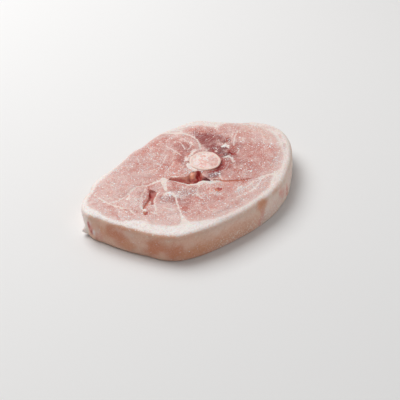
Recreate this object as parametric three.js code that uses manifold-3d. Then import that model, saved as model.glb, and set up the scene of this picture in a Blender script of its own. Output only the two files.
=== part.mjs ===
// A raw pork leg steak: one slice sawn straight through a leg of pork, skin on,
// with the cross-section of the thigh bone standing in it.
//
// Millimetres, +Z up. The slice lies flat on z = 0 and its cut face looks up.
// +X runs along its length, the skin goes round its -X end and its -Y side.
// The origin is under the middle of the slice.

import * as THREE from 'three';
import { mergeVertices } from 'three/addons/utils/BufferGeometryUtils.js';
import Module from 'manifold-3d';

const wasm = await Module();
wasm.setup();

// ---------------------------------------------------------------- driving dimensions

const THICKNESS = 26;            // how thick the butcher sawed the slice
const TOP_ROUND = 4.2;           // soft edge of the fat round the cut face
const BASE_ROUND = 3;            // soft edge where the slice meets the table
const FRONT_FLARE = 2.4;         // the front side spreads this much at the table
const CORNER_TUCK = 4.6;         // the back corner of the -X end draws in this much at the table
const END_TUCK = 1;              // and the +X end this much
const CUT_GRID = 3.2;            // spacing of the heights over the cut face
const RIM_STEP = 5.2;            // spacing of the points round the outline
const RELIEF_ROOM = 2;           // the side wall stands this far above the cut face
const GAP = 0.3;                 // clearance between the bone and the meat

// The slice seen from above at its widest, anticlockwise from the -X end.
const OUTLINE = [
  [-114.8, 21.5], [-111.8, 6], [-106.4, -14.8], [-100.2, -31.2], [-93.6, -47.2], [-82.6, -59.6],
  [-61, -68.7], [-30, -74.2], [7.5, -76.2], [38, -70.7], [63.2, -59.6], [87.2, -43.6],
  [110, -19.6], [114.8, -5], [114.6, 7], [108.5, 20.5], [97.5, 31.2], [88, 43],
  [78.5, 54.5], [74.5, 61.8], [64, 69], [46, 73], [27.5, 75.9], [10, 73.5],
  [-3, 69.8], [-16, 70], [-40, 63.4], [-70, 57.9], [-82, 53.4], [-88, 48.6],
  [-96, 45.8], [-106, 39.6], [-112.8, 31.5],
];

// The thigh bone: an egg-shaped column right through the slice.
const BONE = { x: 16.8, y: 4.9, radius: 15.5, egg: 0.042, turn: 0.7, proud: 0.9, rim: 2.2, sink: 0.5 };
const MOAT = { depth: 1.7, width: 2.4, out: 2, side: -0.95 };   // sunken meat on one side of it

// Muscles that stand up as low domes from the seams between them.
const MUSCLES = [
  { name: 'round muscle',    x: 27,  y: 42,  rx: 15.5, ry: 19,   turn: 0.15,  dome: 0.9 },
  { name: 'long back muscle', x: -55, y: 37, rx: 43,   ry: 18,   turn: 0.14,  dome: 0.8 },
  { name: 'folded muscle',   x: -75, y: 4,   rx: 21,   ry: 9,    turn: 0.5,   dome: 0.5 },
  { name: 'oval muscle',     x: -57, y: -20, rx: 15,   ry: 21,   turn: 0.25,  dome: 0.8 },
  { name: 'corner muscle',   x: -79, y: -31, rx: 8,    ry: 13,   turn: 0.35,  dome: 0.5 },
  { name: 'front muscle',    x: -24, y: -46, rx: 37,   ry: 17,   turn: -0.1,  dome: 0.7 },
  { name: 'speckled muscle', x: 14,  y: -56, rx: 25,   ry: 9,    turn: 0.05,  dome: 0.4 },
  { name: 'big end muscle',  x: 66,  y: -11, rx: 35,   ry: 34,   turn: -0.35, dome: 0.9 },
  { name: 'dark muscle',     x: 53,  y: 38,  rx: 13,   ry: 21,   turn: -0.35, dome: 0.5 },
  { name: 'middle muscle',   x: -12, y: 38,  rx: 22,   ry: 24,   turn: 0.1,   dome: 0.4 },
];
const SEAM_SOFTNESS = 0.22;      // share of a muscle's radius over which its dome rises

// Pits and splits in the cut face: lens-shaped mouths that close towards a floor.
// The floor is moved by bank = [x, y] from under the mouth's middle, and bow bends
// the lens sideways.
const PITS = [
  {
    name: 'long split', x: -60, y: 4, length: 35, width: 6.6, turn: 0.7, bow: -3.2,
    depth: 4.6, bank: [-0.6, 0.8],
  },
  {
    name: 'side tooth', x: -61.6, y: -4.8, length: 13, width: 4, turn: 0.95, bow: 0,
    depth: 3.6, bank: [-0.4, 0.3],
  },
  {
    name: 'small hole', x: -78.6, y: -13.8, length: 6.8, width: 4.2, turn: 1, bow: 0,
    depth: 2, bank: [-0.3, -0.4],
  },
  {
    name: 'front pit', x: -9.6, y: -35.4, length: 8.6, width: 7.4, turn: 0.1, bow: 0,
    depth: 2.8, bank: [-0.3, -0.8],
  },
  {
    name: 'bone slit', x: 43.4, y: -3.4, length: 7.4, width: 2.6, turn: 1.7, bow: 0,
    depth: 2, bank: [-0.2, -0.2],
  },
];

// The deep gash beside the bone, where the muscles have pulled apart.
const GASH = {
  mouth: [
    [-27.6, 8.4], [-25.6, 2.8], [-22, -7.4], [-20.3, -11], [-16.2, -14.2], [-12.5, -14.8],
    [-8.8, -16.4], [-7.3, -19.4], [-4.8, -20.8], [-3.2, -19], [-1.2, -11], [1.2, -3.4],
    [0.2, -1], [-5, 2.6], [-11.4, 0.6], [-18.4, 5], [-24.6, 10],
  ],
  floor: [-10.2, -11.2],         // the deepest place, close under the near lip
  depth: 8.5,
  floorShare: 0.24,              // size of the floor beside the mouth
  folds: 0.9,                    // strands of meat that run down the far wall
  foldCount: 6,
};

// The pale lip that stands up along the near side of the gash.
const LIP = {
  path: [[-20, -13], [-14, -16.4], [-9.4, -18.4], [-5, -22.8], [1.5, -25.6]],
  height: 0.6,
  width: 2.2,
};

// A thin crack that runs on from the gash towards the front rim.
const CRACK = {
  path: [[-0.5, -21], [3.6, -24.6], [4.6, -28.6], [8.6, -33], [14, -37.4], [19.5, -41.4], [25, -44.6]],
  width: 2.2,
  depth: 1.6,
};

// What shows on the skin side: upright creases, and a shred of fat at the -X end.
const CREASES = [
  { x: 3,    y: -75.5, width: 5,   depth: 0.9 },
  { x: 36,   y: -71,   width: 6,   depth: 0.6 },
  { x: -112, y: 9,     width: 5,   depth: 0.7 },
  { x: -96,  y: -42,   width: 14,  depth: 0.5 },
];
const FAT_SHRED = {
  root: [-107.6, 24.4, 4.8],
  tip: [-114.2, 28.8, 4.4],
  thick: 2.6,
  tall: 3.2,
  blunt: 0.5,                    // its tip is this share as thick as its root
};

// ---------------------------------------------------------------- small helpers

const smooth = (from, to, value) => THREE.MathUtils.smoothstep(value, from, to);

// A position buffer and triangle list as a closed solid that can be joined and cut.
function solidFrom(geometry) {
  const bare = geometry.clone();
  bare.deleteAttribute('normal');
  bare.deleteAttribute('uv');
  const merged = mergeVertices(bare, 1e-5);
  return new wasm.Manifold(new wasm.Mesh({
    numProp: 3,
    vertProperties: new Float32Array(merged.attributes.position.array),
    triVerts: new Uint32Array(merged.index.array),
  }));
}

function geometryFrom(solid) {
  const mesh = solid.getMesh();
  const geometry = new THREE.BufferGeometry();
  geometry.setAttribute('position', new THREE.BufferAttribute(mesh.vertProperties, 3));
  geometry.setIndex(new THREE.BufferAttribute(mesh.triVerts, 1));
  geometry.computeVertexNormals();
  return geometry;
}

// Rings of equally many points, lowest ring first and each anticlockwise, skinned
// into one closed body: walls between the rings, a fan of triangles on both ends.
function loftFrom(rings) {
  const around = rings[0].length;
  const points = rings.flat();
  const ends = [rings[0], rings[rings.length - 1]];
  const [lowMiddle, highMiddle] = ends.map((ring) => {
    const middle = new THREE.Vector3();
    ring.forEach((point) => middle.addScaledVector(point, 1 / around));
    return points.push(middle) - 1;
  });
  const index = [];
  for (let row = 0; row + 1 < rings.length; row += 1) {
    for (let k = 0; k < around; k += 1) {
      const a = row * around + k;
      const b = row * around + ((k + 1) % around);
      index.push(a, b, b + around, a, b + around, a + around);
    }
  }
  const top = (rings.length - 1) * around;
  for (let k = 0; k < around; k += 1) {
    const next = (k + 1) % around;
    index.push(lowMiddle, next, k, highMiddle, top + k, top + next);
  }
  const geometry = new THREE.BufferGeometry().setFromPoints(points);
  geometry.setIndex(index);
  return geometry;
}

// A closed smooth curve through [x, y] points, read off at equal steps.
function closedCurve(corners, steps) {
  const knots = corners.map(([x, y]) => new THREE.Vector3(x, y, 0));
  const curve = new THREE.CatmullRomCurve3(knots, true, 'centripetal');
  return curve.getSpacedPoints(steps).slice(0, steps);
}

// ---------------------------------------------------------------- the bone

// Distance from the bone's axis to its skin in the direction of an angle.
function boneRadius(angle) {
  const turned = angle - BONE.turn;
  return BONE.radius * (1 + BONE.egg * Math.cos(2 * turned) + 0.3 * BONE.egg * Math.cos(3 * turned));
}

function boneRing(z, grow, around) {
  const ring = [];
  for (let k = 0; k < around; k += 1) {
    const angle = (2 * Math.PI * k) / around;
    const reach = boneRadius(angle) + grow;
    ring.push(new THREE.Vector3(BONE.x + reach * Math.cos(angle), BONE.y + reach * Math.sin(angle), z));
  }
  return ring;
}

const BONE_AROUND = 60;

// A hard outer ring that stands a little proud, with the spongy middle sunk inside it.
function makeBone() {
  const top = THICKNESS + BONE.proud;
  const ease = 0.6;
  const rings = [
    boneRing(0, -ease, BONE_AROUND),
    boneRing(ease, 0, BONE_AROUND),
    boneRing(top - ease, 0, BONE_AROUND),
    boneRing(top - 0.3 * ease, -0.3 * ease, BONE_AROUND),
    boneRing(top, -ease, BONE_AROUND),
    boneRing(top, -BONE.rim, BONE_AROUND),
    boneRing(top - BONE.sink, -BONE.rim - 1.2, BONE_AROUND),
    boneRing(top - BONE.sink * 0.8, -0.6 * BONE.radius, BONE_AROUND),
  ];
  return loftFrom(rings);
}

function makeBoneHole() {
  return loftFrom([
    boneRing(-RELIEF_ROOM, GAP, BONE_AROUND),
    boneRing(THICKNESS + 3 * RELIEF_ROOM, GAP, BONE_AROUND),
  ]);
}

// ---------------------------------------------------------------- the cut face

// Height of a muscle's dome at a place: full in its middle, none outside its outline.
function domeHeight(muscle, x, y) {
  const dx = x - muscle.x;
  const dy = y - muscle.y;
  const cos = Math.cos(muscle.turn);
  const sin = Math.sin(muscle.turn);
  const reach = Math.hypot((dx * cos + dy * sin) / muscle.rx, (dy * cos - dx * sin) / muscle.ry);
  return muscle.dome * (1 - smooth(1 - SEAM_SOFTNESS, 1, reach)) * (1 - 0.35 * reach * reach);
}

// The meat has drawn back from the bone on the side that MOAT.side points to.
function moatDepth(x, y) {
  const dx = x - BONE.x;
  const dy = y - BONE.y;
  const angle = Math.atan2(dy, dx);
  const beyond = Math.hypot(dx, dy) - boneRadius(angle) - MOAT.out;
  const facing = Math.max(0, Math.cos(angle - MOAT.side));
  return MOAT.depth * facing * Math.exp(-((beyond / MOAT.width) ** 2));
}

// A ridge along a line of points: full height on the line, fading to both sides.
function ridgeHeight(ridge, x, y) {
  const spot = new THREE.Vector3(x, y, 0);
  const nearest = new THREE.Vector3();
  let off = Infinity;
  for (let k = 0; k + 1 < ridge.path.length; k += 1) {
    const from = new THREE.Vector3(...ridge.path[k], 0);
    const to = new THREE.Vector3(...ridge.path[k + 1], 0);
    new THREE.Line3(from, to).closestPointToPoint(spot, true, nearest);
    off = Math.min(off, nearest.distanceTo(spot));
  }
  return ridge.height * Math.exp(-((off / ridge.width) ** 2));
}

// Slow swells that no sawn slice of soft meat is free of.
function swell(x, y) {
  return 0.35 * Math.sin(x / 21 + 0.6) * Math.cos(y / 17 - 0.4) + 0.15 * Math.sin(x / 8 + y / 11);
}

function cutFaceHeight(x, y) {
  const domes = MUSCLES.map((muscle) => domeHeight(muscle, x, y));
  const raised = Math.max(...domes) + ridgeHeight(LIP, x, y);
  return THICKNESS - 0.6 + raised + swell(x, y) - moatDepth(x, y);
}

// A block wider than the slice whose upper side carries the relief of the cut face.
function makeReliefBlock(outline) {
  const box = new THREE.Box3().setFromPoints(outline).expandByScalar(CUT_GRID);
  const size = box.getSize(new THREE.Vector3());
  const middle = box.getCenter(new THREE.Vector3());
  const height = THICKNESS + 10;
  const across = Math.round(size.x / CUT_GRID);
  const deep = Math.round(size.y / CUT_GRID);
  const block = new THREE.BoxGeometry(size.x, size.y, height, across, deep, 1);
  block.translate(middle.x, middle.y, 0);
  const place = block.attributes.position;
  for (let k = 0; k < place.count; k += 1) {
    const top = place.getZ(k) > 0;
    place.setZ(k, top ? cutFaceHeight(place.getX(k), place.getY(k)) : THICKNESS - height);
  }
  return block;
}

// ---------------------------------------------------------------- the side

const CORNER_SIDE = new THREE.Vector3(-0.9, 0.43, 0);   // the way the back corner faces

// How far a row of the side lies inside the widest outline, for its edge roundings.
function profileInset(z, top) {
  if (z < BASE_ROUND) return BASE_ROUND - Math.sqrt(BASE_ROUND ** 2 - (BASE_ROUND - z) ** 2);
  const over = z - (top - TOP_ROUND);
  if (over > 0) return TOP_ROUND - Math.sqrt(Math.max(0, TOP_ROUND ** 2 - over ** 2));
  return 0;
}

// Soft lumps and creases of the skin, in millimetres outwards.
function skinRelief(point, along, z) {
  const lumps = 0.5 * Math.sin(along / 11 + z / 14) + 0.3 * Math.sin(along / 5.2 - z / 6 + 1);
  const belly = 0.7 * Math.sin((Math.PI * z) / THICKNESS);
  const creases = CREASES.map((crease) => {
    const off = Math.hypot(point.x - crease.x, point.y - crease.y);
    return crease.depth * Math.exp(-((off / crease.width) ** 2));
  });
  return 0.5 * lumps + belly - 0.7 - creases.reduce((sum, value) => sum + value, 0);
}

function makeSideWall(outline) {
  const around = outline.length;
  const outward = outline.map((point, k) => {
    const ahead = outline[(k + 1) % around];
    const behind = outline[(k + around - 1) % around];
    return new THREE.Vector3(ahead.y - behind.y, behind.x - ahead.x, 0).normalize();
  });
  const top = THICKNESS + 0.6;
  const heights = [];
  for (const share of [0, 0.15, 0.45, 1]) heights.push(BASE_ROUND * share);
  const walls = 4;
  for (let k = 1; k <= walls; k += 1) {
    heights.push(BASE_ROUND + ((top - TOP_ROUND - BASE_ROUND) * k) / walls);
  }
  for (const share of [0.4, 0.68, 0.86, 0.97]) heights.push(top - TOP_ROUND * (1 - share));
  const rings = heights.map((z) => outline.map((point, k) => {
    const rise = z / THICKNESS;
    const corner = Math.max(0, outward[k].dot(CORNER_SIDE));
    const tuck = CORNER_TUCK * corner ** 7 + END_TUCK * Math.max(0, outward[k].x) ** 2;
    const flare = FRONT_FLARE * Math.max(0, -outward[k].y);
    const slant = flare * (0.5 - rise) - tuck * (1 - rise);
    const soften = smooth(0, 1.5, z);
    const push = slant + soften * skinRelief(point, k * RIM_STEP, z) - profileInset(z, top);
    return new THREE.Vector3(point.x + push * outward[k].x, point.y + push * outward[k].y, z);
  }));
  const lid = rings[rings.length - 1].map((point, k) => new THREE.Vector3(
    point.x - TOP_ROUND * outward[k].x,
    point.y - TOP_ROUND * outward[k].y,
    THICKNESS + RELIEF_ROOM,
  ));
  return loftFrom([...rings, lid]);
}

// A shred of fat that stands off the foot of the -X end.
function makeFatShred() {
  const root = new THREE.Vector3(...FAT_SHRED.root);
  const tip = new THREE.Vector3(...FAT_SHRED.tip);
  const shred = new THREE.CylinderGeometry(FAT_SHRED.blunt, 1, root.distanceTo(tip), 12, 3);
  shred.scale(FAT_SHRED.thick, 1, FAT_SHRED.tall);
  const along = tip.clone().sub(root).normalize();
  shred.applyQuaternion(new THREE.Quaternion().setFromUnitVectors(new THREE.Vector3(0, 1, 0), along));
  shred.translate((root.x + tip.x) / 2, (root.y + tip.y) / 2, (root.z + tip.z) / 2);
  return shred;
}

// ---------------------------------------------------------------- openings in the cut face

const MOUTH_ROOM = 3;            // the cutters start this far above the cut face

// A lens-shaped cutter: pointed at both ends of its length, closing towards its floor.
function makePit(pit) {
  const around = 18;
  const rings = [];
  for (const share of [1, 0.7, 0.35, 0, -0.4]) {
    const scale = share > 0 ? 1 - 0.75 * share ** 1.4 : 1 - share * 0.25;
    const ring = [];
    for (let k = 0; k < around; k += 1) {
      const angle = (2 * Math.PI * k) / around;
      const u = 0.5 * pit.length * scale * Math.cos(angle);
      const open = 0.5 * pit.width * scale * Math.sin(angle) * Math.abs(Math.sin(angle)) ** 0.4;
      const v = open + pit.bow * (1 - Math.cos(angle) ** 2 * scale ** 2);
      const shift = Math.max(0, share);
      ring.push(new THREE.Vector3(
        pit.x + pit.bank[0] * shift + u * Math.cos(pit.turn) - v * Math.sin(pit.turn),
        pit.y + pit.bank[1] * shift + u * Math.sin(pit.turn) + v * Math.cos(pit.turn),
        share > 0 ? THICKNESS - pit.depth * share : THICKNESS - MOUTH_ROOM * share * 2.5,
      ));
    }
    rings.push(ring);
  }
  return loftFrom(rings);
}

// The gash: every point of the mouth slides down towards the floor near the front lip,
// and strands of meat stand out between the grooves of its far wall.
function makeGash() {
  const around = 50;
  const mouth = closedCurve(GASH.mouth, around).reverse();
  if (THREE.ShapeUtils.area(mouth) < 0) mouth.reverse();
  const floor = new THREE.Vector3(...GASH.floor, 0);
  const middle = new THREE.Box3().setFromPoints(mouth).getCenter(new THREE.Vector3());
  const rings = [];
  for (const share of [1, 0.78, 0.56, 0.34, 0.14, 0]) {
    rings.push(mouth.map((point, k) => {
      const low = point.clone().sub(middle).multiplyScalar(GASH.floorShare).add(floor);
      const strand = Math.sin((2 * Math.PI * GASH.foldCount * k) / around);
      const fold = GASH.folds * strand * 4 * share * (1 - share);
      const inward = middle.clone().sub(point).normalize();
      const place = point.clone().lerp(low, share ** 0.9).addScaledVector(inward, fold);
      return place.setZ(THICKNESS - GASH.depth * share);
    }));
  }
  rings.push(mouth.map((point) => point.clone().setZ(THICKNESS + MOUTH_ROOM)));
  return loftFrom(rings);
}

// A V-shaped groove along a curve, narrow at both ends.
function makeCrack() {
  const knots = CRACK.path.map(([x, y]) => new THREE.Vector3(x, y, 0));
  const curve = new THREE.CatmullRomCurve3(knots);
  const steps = 22;
  const rings = [];
  for (let k = 0; k <= steps; k += 1) {
    const share = k / steps;
    const open = 0.15 + 0.85 * Math.sin(Math.PI * Math.min(1, 0.15 + share * 0.85));
    const at = curve.getPointAt(share);
    const ahead = curve.getTangentAt(share);
    const beside = new THREE.Vector3(-ahead.y, ahead.x, 0).normalize();
    const high = THICKNESS + MOUTH_ROOM;
    const half = 0.5 * CRACK.width * open * (1 + MOUTH_ROOM / CRACK.depth);
    rings.push([
      at.clone().addScaledVector(beside, -half).setZ(high),
      at.clone().setZ(THICKNESS - CRACK.depth * open),
      at.clone().addScaledVector(beside, half).setZ(high),
    ]);
  }
  return loftFrom(rings);
}

// ---------------------------------------------------------------- assembly

function makeMeat() {
  const corners = OUTLINE.map(([x, y]) => new THREE.Vector3(x, y, 0));
  const girth = new THREE.CatmullRomCurve3(corners, true, 'centripetal').getLength();
  const outline = closedCurve(OUTLINE, Math.round(girth / RIM_STEP));
  let meat = solidFrom(makeSideWall(outline));
  meat = meat.add(solidFrom(makeFatShred()));
  meat = meat.intersect(solidFrom(makeReliefBlock(outline)));
  const cutters = [makeBoneHole(), makeGash(), makeCrack(), ...PITS.map(makePit)];
  for (const cutter of cutters) meat = meat.subtract(solidFrom(cutter));
  return geometryFrom(meat);
}

const meatMaterial = new THREE.MeshStandardMaterial({ color: 0xd9a7a3, roughness: 0.55, metalness: 0 });
const boneMaterial = new THREE.MeshStandardMaterial({ color: 0xe9cfc4, roughness: 0.6, metalness: 0 });

const meat = new THREE.Mesh(makeMeat(), meatMaterial);
meat.name = 'pork_slice';

const bone = new THREE.Mesh(makeBone(), boneMaterial);
bone.name = 'thigh_bone';

const steak = new THREE.Group();
steak.name = 'pork_leg_steak';
steak.add(meat, bone);

export default steak;
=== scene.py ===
# %% [markdown]
# # A raw pork leg steak
#
# This notebook dresses one butcher's cut: a slice sawn straight through a leg of pork, with a
# collar of fat and skin round one side and the round section of the thigh bone in the middle.
# The engineering model gives two plain solids, the meat and the bone. Here each of them gets a
# fine mesh of the same size with the muscles, seams, splits and frost that can be seen.
#
# Everything is in metres in the end, but meat is easier to think about in millimetres, so the
# named sizes are in millimetres and one factor turns them into metres.

# %% Load the frame
import math

import bmesh
import bpy
import numpy as np
from mathutils import Matrix, Vector, noise


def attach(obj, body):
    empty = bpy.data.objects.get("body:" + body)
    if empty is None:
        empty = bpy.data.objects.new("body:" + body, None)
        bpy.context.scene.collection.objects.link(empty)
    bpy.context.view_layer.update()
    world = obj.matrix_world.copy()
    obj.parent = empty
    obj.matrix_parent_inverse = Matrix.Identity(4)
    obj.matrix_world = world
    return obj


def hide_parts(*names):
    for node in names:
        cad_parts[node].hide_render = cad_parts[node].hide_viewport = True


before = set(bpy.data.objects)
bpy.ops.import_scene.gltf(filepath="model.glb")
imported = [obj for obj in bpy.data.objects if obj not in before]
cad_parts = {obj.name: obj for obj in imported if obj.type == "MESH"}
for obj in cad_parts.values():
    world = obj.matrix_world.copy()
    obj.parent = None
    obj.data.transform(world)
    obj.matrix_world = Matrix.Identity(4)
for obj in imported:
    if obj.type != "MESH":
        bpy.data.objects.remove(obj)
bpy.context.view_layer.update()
MM = 0.001

# %% [markdown]
# ## The camera
#
# The photograph looks down on the slice from one corner, with a fairly long lens. A camera is
# an object whose data holds the lens. It looks along its own -Z axis, so the easiest way to aim
# it is to build the turn from two angles: how far it looks down, and the compass direction.

# %% Camera
EYE = Vector((-485.27, -456.49, 450.0)) * MM     # where the photographer's lens was
LOOKS_DOWN = math.radians(34.45)                 # below the horizon
HEADING = math.atan2(0.6820, 0.7314)             # compass direction, from +X towards +Y
LENS = 77.67                                     # millimetres, on a 36 mm wide sensor

camera_data = bpy.data.cameras.new("camera")
camera_data.lens = LENS
camera_data.sensor_width = 36
camera_data.clip_start = 0.01
camera = bpy.data.objects.new("camera", camera_data)
camera.location = EYE
camera.rotation_euler = (math.pi / 2 - LOOKS_DOWN, 0, HEADING - math.pi / 2)
bpy.context.scene.collection.objects.link(camera)
bpy.context.scene.camera = camera
print("camera at", [round(value, 3) for value in camera.location])

# %% [markdown]
# ## The light
#
# Food is often lit by one large soft source above and behind it, which makes the cut face pale
# and lets the side that faces the camera fall into a soft half shade. An area light is such a
# source: the larger it is, the softer the edge of its shadow. A weaker one on the right brightens
# the +X end, and a weak even light from the world keeps the shade from going black.

# %% Light helper
def add_softbox(name, place, size, power):
    """A square area light that shines from a place towards the middle of the slice."""
    light = bpy.data.lights.new(name, "AREA")
    light.size = size
    light.energy = power
    lamp = bpy.data.objects.new(name, light)
    lamp.location = place
    lamp.rotation_euler = (-place).to_track_quat("-Z", "Y").to_euler()
    bpy.context.scene.collection.objects.link(lamp)


# %% Studio light
# name: metres ahead of the slice as the camera looks, to its right and above it, size, power
SOFTBOXES = {
    "window": (0.75, -0.75, 1.5, 1.3, 30.5),
    "right fill": (-0.2, 1.4, 0.8, 1.2, 3.2),
}
WORLD_COLOUR = (1, 0.985, 0.97, 1)
WORLD_STRENGTH = 0.25

ahead = Vector((math.cos(HEADING), math.sin(HEADING), 0))
rightwards = Vector((math.sin(HEADING), -math.cos(HEADING), 0))
upwards = Vector((0, 0, 1))
for name, (forward, right, up, size, power) in SOFTBOXES.items():
    add_softbox(name, forward * ahead + right * rightwards + up * upwards, size, power)

world = bpy.data.worlds.new("studio")
world.use_nodes = True
background = world.node_tree.nodes["Background"]
background.inputs["Color"].default_value = WORLD_COLOUR
background.inputs["Strength"].default_value = WORLD_STRENGTH
bpy.context.scene.world = world
bpy.context.scene.view_settings.view_transform = "Standard"

# %% [markdown]
# ## Making materials from nodes
#
# A material is a small program drawn as boxes and wires. Two helpers keep that short: one adds
# a box and plugs values or wires into it, the other starts a new material that ends in the
# Principled shader. A plain number that holds all over a surface goes straight on the shader.
# The helper `tint` turns a colour as a screen shows it (0 to 255) into the linear amount of
# light that the shader works with. Most steps of a finish are the same: a pattern says where a
# second colour covers the first, so `lay_over` does that in one call.

# %% Node helpers
def tint(red, green, blue):
    """A colour as a screen shows it, as linear light."""
    linear = [((part / 255 + 0.055) / 1.055) ** 2.4 for part in (red, green, blue)]
    return (*linear, 1.0)


def box(tree, kind, plugs=None, **settings):
    """Adds a node. Plugs are its inputs by name or number: a wire from another node, or a value."""
    node = tree.nodes.new("ShaderNode" + kind)
    for name, value in settings.items():
        setattr(node, name, value)
    for key, value in (plugs or {}).items():
        if isinstance(value, bpy.types.NodeSocket):
            tree.links.new(value, node.inputs[key])
        else:
            node.inputs[key].default_value = value
    return node


def start_material(name, roughness, specular):
    """A new material with a Principled shader wired to its output."""
    material = bpy.data.materials.new(name)
    material.use_nodes = True
    tree = material.node_tree
    tree.nodes.clear()
    shader = box(tree, "BsdfPrincipled", {"Roughness": roughness, "Specular IOR Level": specular})
    output = box(tree, "OutputMaterial")
    tree.links.new(shader.outputs["BSDF"], output.inputs["Surface"])
    return material, tree, shader


def let_light_in(shader, weight, radius, scale):
    """Some of the light goes under the surface and comes out redder, as in flesh and fat."""
    shader.inputs["Subsurface Weight"].default_value = weight
    shader.inputs["Subsurface Radius"].default_value = radius
    shader.inputs["Subsurface Scale"].default_value = scale


def add_bump(tree, shader, height, strength, distance):
    """Shades the surface as if a pattern stood out by a distance in metres."""
    bump = box(tree, "Bump", {"Height": height, "Strength": strength, "Distance": distance})
    tree.links.new(bump.outputs["Normal"], shader.inputs["Normal"])


def place_in_mm(tree):
    """The point on the object in millimetres, for patterns of a known real size."""
    here = box(tree, "TexCoord").outputs["Object"]
    return box(tree, "VectorMath", {0: here, "Scale": 1000}, operation="SCALE").outputs["Vector"]


def along_axis(tree, where, axis):
    """One of the three coordinates of a point."""
    return box(tree, "SeparateXYZ", {"Vector": where}).outputs[axis]


def mottle(tree, where, size, detail=3.0):
    """Smooth noise from 0 to 1 whose blotches are about size millimetres across."""
    plugs = {"Vector": where, "Scale": 1 / size, "Detail": detail, "Roughness": 0.55}
    return box(tree, "TexNoise", plugs).outputs["Fac"]


def ramp(tree, value, start, end, low=0.0, high=1.0):
    """Turns start..end into low..high with a soft step, and holds both ends."""
    plugs = {"Value": value, "From Min": start, "From Max": end, "To Min": low, "To Max": high}
    return box(tree, "MapRange", plugs, interpolation_type="SMOOTHSTEP").outputs["Result"]


def maths(tree, what, *values):
    """A sum on numbers or wires. MULTIPLY_ADD takes three: the first times the second, plus the third."""
    return box(tree, "Math", dict(enumerate(values)), operation=what).outputs[0]


def times(tree, first, second):
    return maths(tree, "MULTIPLY", first, second)


def blend_colours(tree, amount, under, over, way="MIX"):
    """The over colour laid on the under colour by an amount from 0 to 1."""
    mixer = box(tree, "Mix", data_type="RGBA", blend_type=way)
    for key, kind, value in (("Factor", "VALUE", amount), ("A", "RGBA", under), ("B", "RGBA", over)):
        socket = next(s for s in mixer.inputs if s.name == key and s.type == kind)
        if isinstance(value, bpy.types.NodeSocket):
            tree.links.new(value, socket)
        else:
            socket.default_value = value
    return next(s for s in mixer.outputs if s.type == "RGBA")


def lay_over(tree, under, over, value, start, end, amount=1.0, way="MIX", kept=None):
    """Lays a colour over another as a value goes from start to end, and less where kept is low."""
    cover = ramp(tree, value, start, end, 0, amount)
    if kept is not None:
        cover = times(tree, cover, kept)
    return blend_colours(tree, cover, under, over, way)


def attribute(tree, name, output="Fac"):
    """A value that the mesh carries on its points."""
    return box(tree, "Attribute", attribute_name=name).outputs[output]


# %% [markdown]
# ## The floor
#
# The slice lies on a plain pale surface, which also throws light back on its side. The plane is
# not attached to a body, because it isn't part of the object.

# %% Floor
FLOOR_SIZE = 6.0


def make_floor_finish():
    material, tree, shader = start_material("studio paper", 0.6, 0.25)
    clouds = mottle(tree, place_in_mm(tree), 900, 2)
    colour = blend_colours(tree, clouds, tint(235, 234, 233), tint(238, 238, 238))
    tree.links.new(colour, shader.inputs["Base Color"])
    return material


def make_floor():
    bm = bmesh.new()
    bmesh.ops.create_grid(bm, x_segments=2, y_segments=2, size=FLOOR_SIZE / 2)
    mesh = bpy.data.meshes.new("floor")
    bm.to_mesh(mesh)
    bm.free()
    floor = bpy.data.objects.new("floor", mesh)
    floor.data.materials.append(make_floor_finish())
    bpy.context.scene.collection.objects.link(floor)
    return floor


print("stage:", make_floor().name)

# %% [markdown]
# ## Driving sizes
#
# These are the sizes of the real cut, the same ones as in the engineering model, so that the
# fine meshes fill the plain solids. The outline is the slice seen from above at its widest.

# %% Sizes of the slice and the bone
THICKNESS = 26.0
TOP_ROUND = 4.2          # soft edge of the fat round the cut face
BASE_ROUND = 3.0         # soft edge where the slice meets the table
FRONT_FLARE = 2.4        # the front side spreads this much at the table
CORNER_TUCK = 4.6        # the back corner of the -X end draws in this much at the table
END_TUCK = 1.0           # and the +X end this much
CORNER_SIDE = np.array((-0.9, 0.43))   # the way that back corner faces
GAP = 0.3                # clearance between the bone and the meat

OUTLINE = [
    (-114.8, 21.5), (-111.8, 6), (-106.4, -14.8), (-100.2, -31.2), (-93.6, -47.2), (-82.6, -59.6),
    (-61, -68.7), (-30, -74.2), (7.5, -76.2), (38, -70.7), (63.2, -59.6), (87.2, -43.6),
    (110, -19.6), (114.8, -5), (114.6, 7), (108.5, 20.5), (97.5, 31.2), (88, 43),
    (78.5, 54.5), (74.5, 61.8), (64, 69), (46, 73), (27.5, 75.9), (10, 73.5),
    (-3, 69.8), (-16, 70), (-40, 63.4), (-70, 57.9), (-82, 53.4), (-88, 48.6),
    (-96, 45.8), (-106, 39.6), (-112.8, 31.5),
]

BONE_AT = np.array((16.8, 4.9))
BONE_RADIUS = 15.5
BONE_EGG = 0.042         # how far its section is from a circle
BONE_TURN = 0.7
BONE_PROUD = 0.9         # it stands this far above the meat
BONE_RING = 2.2          # wall of hard bone round the spongy middle

# %% [markdown]
# ## Curves, distances and soft steps
#
# Most of what shows on a cut face can be told as a distance: how far a point is from the edge
# of the lean, from a seam of fat, from the mouth of a split. Distances stay smooth, so they can
# be kept on the points of a mesh and still give a sharp line when a material reads them.
# NumPy works them out for every point at once.

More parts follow.
